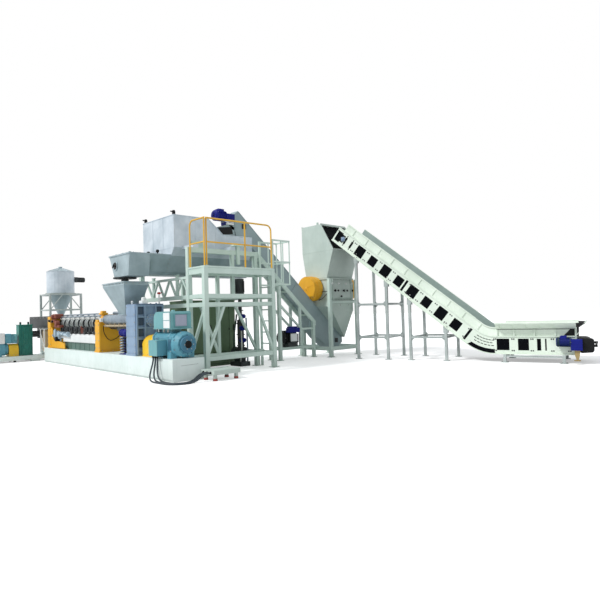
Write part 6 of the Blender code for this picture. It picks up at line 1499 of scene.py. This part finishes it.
# %% Second stage barrel and hood
for y, axis in ((0.1495, FRONT), (0.6305, BACK)):
    bolts_at(steps(-10.55, 0.36, 6), (y,), (1.47,), axis, 0.011)
ring_of_bolts((S2_X, 2.6203, 0.92), BACK, 0.17, 8, 0.011)
for y, off in product(steps(0.89, 0.38, 4), (-0.12, 0.01)):
    stub((S2_X, y + off, 0.92), (0.0, 0.10, 0.0), 0.156, 28, None, 0.002)
bolts_at((S2_X + 0.2003,), (-0.80, -0.68, -0.56), (0.25,), RIGHT, 0.008)
finish_piece("second_bands_and_bolts", band_steel)
block((-10.74, 0.138, 1.117), (-8.60, 0.150, 1.130), 0.002)
block((-9.52, 0.10, 1.08), (-8.66, 0.14, 1.095), 0.003)
for x in (-9.35, -8.95):
    bar((x, 0.12, 0.30), (x, 0.12, 1.08), 0.03, 0.03)
bar((-9.35, 0.12, 0.95), (-8.95, 0.12, 0.40), 0.02, 0.02)
finish_piece("hood_light_rail", white_paint)
block((-9.28, 0.16, 0.32), (-9.02, 0.55, 1.05), 0.012)
block((-9.24, 0.14, 0.40), (-9.06, 0.165, 0.60), 0.006)
bar((-9.15, 0.36, 0.001), (-9.15, 0.36, 0.33), 0.12, 0.12)
finish_piece("changer_oil_unit", beige_lagging)

# %% [markdown]
# Cyclone silo: roof ribs, flanges and motor
#
# The silo is rolled sheet with a flanged joint above the cone. Eight ribs stiffen the flat conical
# roof, clamp bolts hold the ring, and a small finned motor sits on the back. The drive of the
# screw trough is dressed in the same way.

# %% Silo fittings
SILO_X, SILO_Y = -11.35, 1.45
for z0, z1, r, n, edge in ((2.852, 2.868, 0.506, 48, 0.002), (3.262, 3.278, 0.506, 48, 0.002),
                           (1.30, 1.325, 0.13, 24, 0.003), (1.53, 1.55, 0.12, 24, 0.003)):
    turned((SILO_X, SILO_Y, z0), (SILO_X, SILO_Y, z1), r, n, None, edge)
for c, s in circle(8, 10.0):
    bar((SILO_X + 0.09 * c, SILO_Y + 0.09 * s, 3.424), (SILO_X + 0.50 * c, SILO_Y + 0.50 * s, 3.288),
        0.010, 0.018)
bar((SILO_X + 0.501, SILO_Y, 2.45), (SILO_X + 0.501, SILO_Y, 3.26), 0.012, 0.004)
finish_piece("silo_ribs_and_joints", bin_steel)
ring_of_bolts((SILO_X, SILO_Y, 2.4303), UP, 0.528, 20, 0.009)
for a, b in four(0.57):
    anchors(SILO_X + a, SILO_Y + b, ((-0.06, 0.06), (0.06, -0.06)), 0.012, 0.009)
finish_piece("silo_bolts", bolt_steel)
dress_motor("silo_motor", (SILO_X, SILO_Y + 0.64, 2.98), (SILO_X, SILO_Y + 0.92, 2.98), 0.09, dark_iron,
            LINE, 20)
dress_motor("trough_motor", (-2.34, 3.88, 2.67), (-2.34, 4.20, 2.67), 0.13, navy_paint,
            LINE, 24)

# %% [markdown]
# Cabinet, pump and cable tray
#
# The cabinet doors hang on hinges and close with lever handles; small vents sit low in each
# door. The pump has ribbed dark castings, blue valves and flanged pipes. The cable tray has a
# folded lid and stands on red feet.

# %% Cabinet, pump and tray fittings
DOOR_X = -1.982
for y, z in product((1.53, 2.86), (0.35, 1.00, 1.60)):
    turned((DOOR_X + 0.008, y, z - 0.03), (DOOR_X + 0.008, y, z + 0.03), 0.010, 10)
for y in (2.16, 2.26, 3.02):
    block((DOOR_X + 0.001, y - 0.014, 0.95), (DOOR_X + 0.012, y + 0.014, 1.13))
    block((DOOR_X + 0.012, y - 0.010, 0.97), (DOOR_X + 0.028, y + 0.010, 1.09), 0.005)
for y in (1.62, 2.32):
    blocks(6, (0.0, 0.0, 0.022), (DOOR_X + 0.0003, y, 0.28), (DOOR_X + 0.004, y + 0.42, 0.288), 0.001)
finish_piece("cabinet_handles_and_vents", handle_plastic)
block((-2.81, 1.49, 1.7703), (-1.985, 3.09, 1.80), 0.01)
for y in (2.213, 2.862):
    bar((DOOR_X + 0.001, y, 0.15), (DOOR_X + 0.001, y, 1.73), 0.004, 0.006)
finish_piece("cabinet_roof_and_seams", cabinet_paint)

PUMP_X, PUMP_Y = -1.50, 2.90
for z, r in ((0.55, 0.115), (0.85, 0.115), (1.15, 0.115), (1.50, 0.085), (1.90, 0.085)):
    turned((PUMP_X, PUMP_Y, z - 0.012), (PUMP_X, PUMP_Y, z + 0.012), r, 20)
for x in (PUMP_X - 0.27, PUMP_X + 0.13):
    stub((x, PUMP_Y, 0.36), (0.02, 0.0, 0.0), 0.155, 24)
ribs_round((PUMP_X, PUMP_Y, 1.99), (PUMP_X, PUMP_Y, 2.30), 0.12, 20, 0.014, 0.005)
turned((PUMP_X, PUMP_Y, 2.27), (PUMP_X, PUMP_Y, 2.355), 0.128, 20, 0.10)
finish_piece("pump_flanges_and_fins", dark_iron)
for z, r in ((0.70, 0.075), (1.02, 0.065), (1.34, 0.07)):
    stub((PUMP_X + 0.06, PUMP_Y - 0.02, z), (0.14, 0.0, 0.0), r, 18, r * 0.8)
    stub((PUMP_X + 0.20, PUMP_Y - 0.02, z), (0.04, 0.0, 0.0), r * 0.4, 12)
finish_piece("pump_valves", navy_paint)
PUMP_PIPES = ((pipe_steel, ((0.15, 0.10, 0.06), (0.16, 0.10, 0.6), (0.15, 0.08, 1.30))),
              (bolt_steel, ((0.13, -0.12, 0.13), (0.22, -0.14, 0.5), (0.14, -0.08, 0.95))),
              (green_hose, ((-0.14, -0.10, 0.13), (-0.10, -0.16, 0.7), (-0.08, -0.06, 1.40))))
for k, (mat, points) in enumerate(PUMP_PIPES):
    route = [(PUMP_X + a, PUMP_Y + b, z) for a, b, z in points]
    bent_pipe("pump_pipe_%d" % (k + 1), route, 0.022, mat)

block((0.115, 0.615, 0.2203), (0.625, 1.305, 0.232), 0.003)
for x in (0.118, 0.622):
    bar((x, 0.63, 0.175), (x, 1.29, 0.175), 0.004, 0.006)
finish_piece("tray_lid", mill_paint)
for x, y in product((0.19, 0.55), (0.69, 1.23)):
    turned((x, y, 0.001), (x, y, 0.05), 0.052, 18, 0.046, 0.005)
finish_piece("tray_feet", red_paint)

# %% [markdown] The last word  The bench is cleared away.

# %% Finish
bench.free()
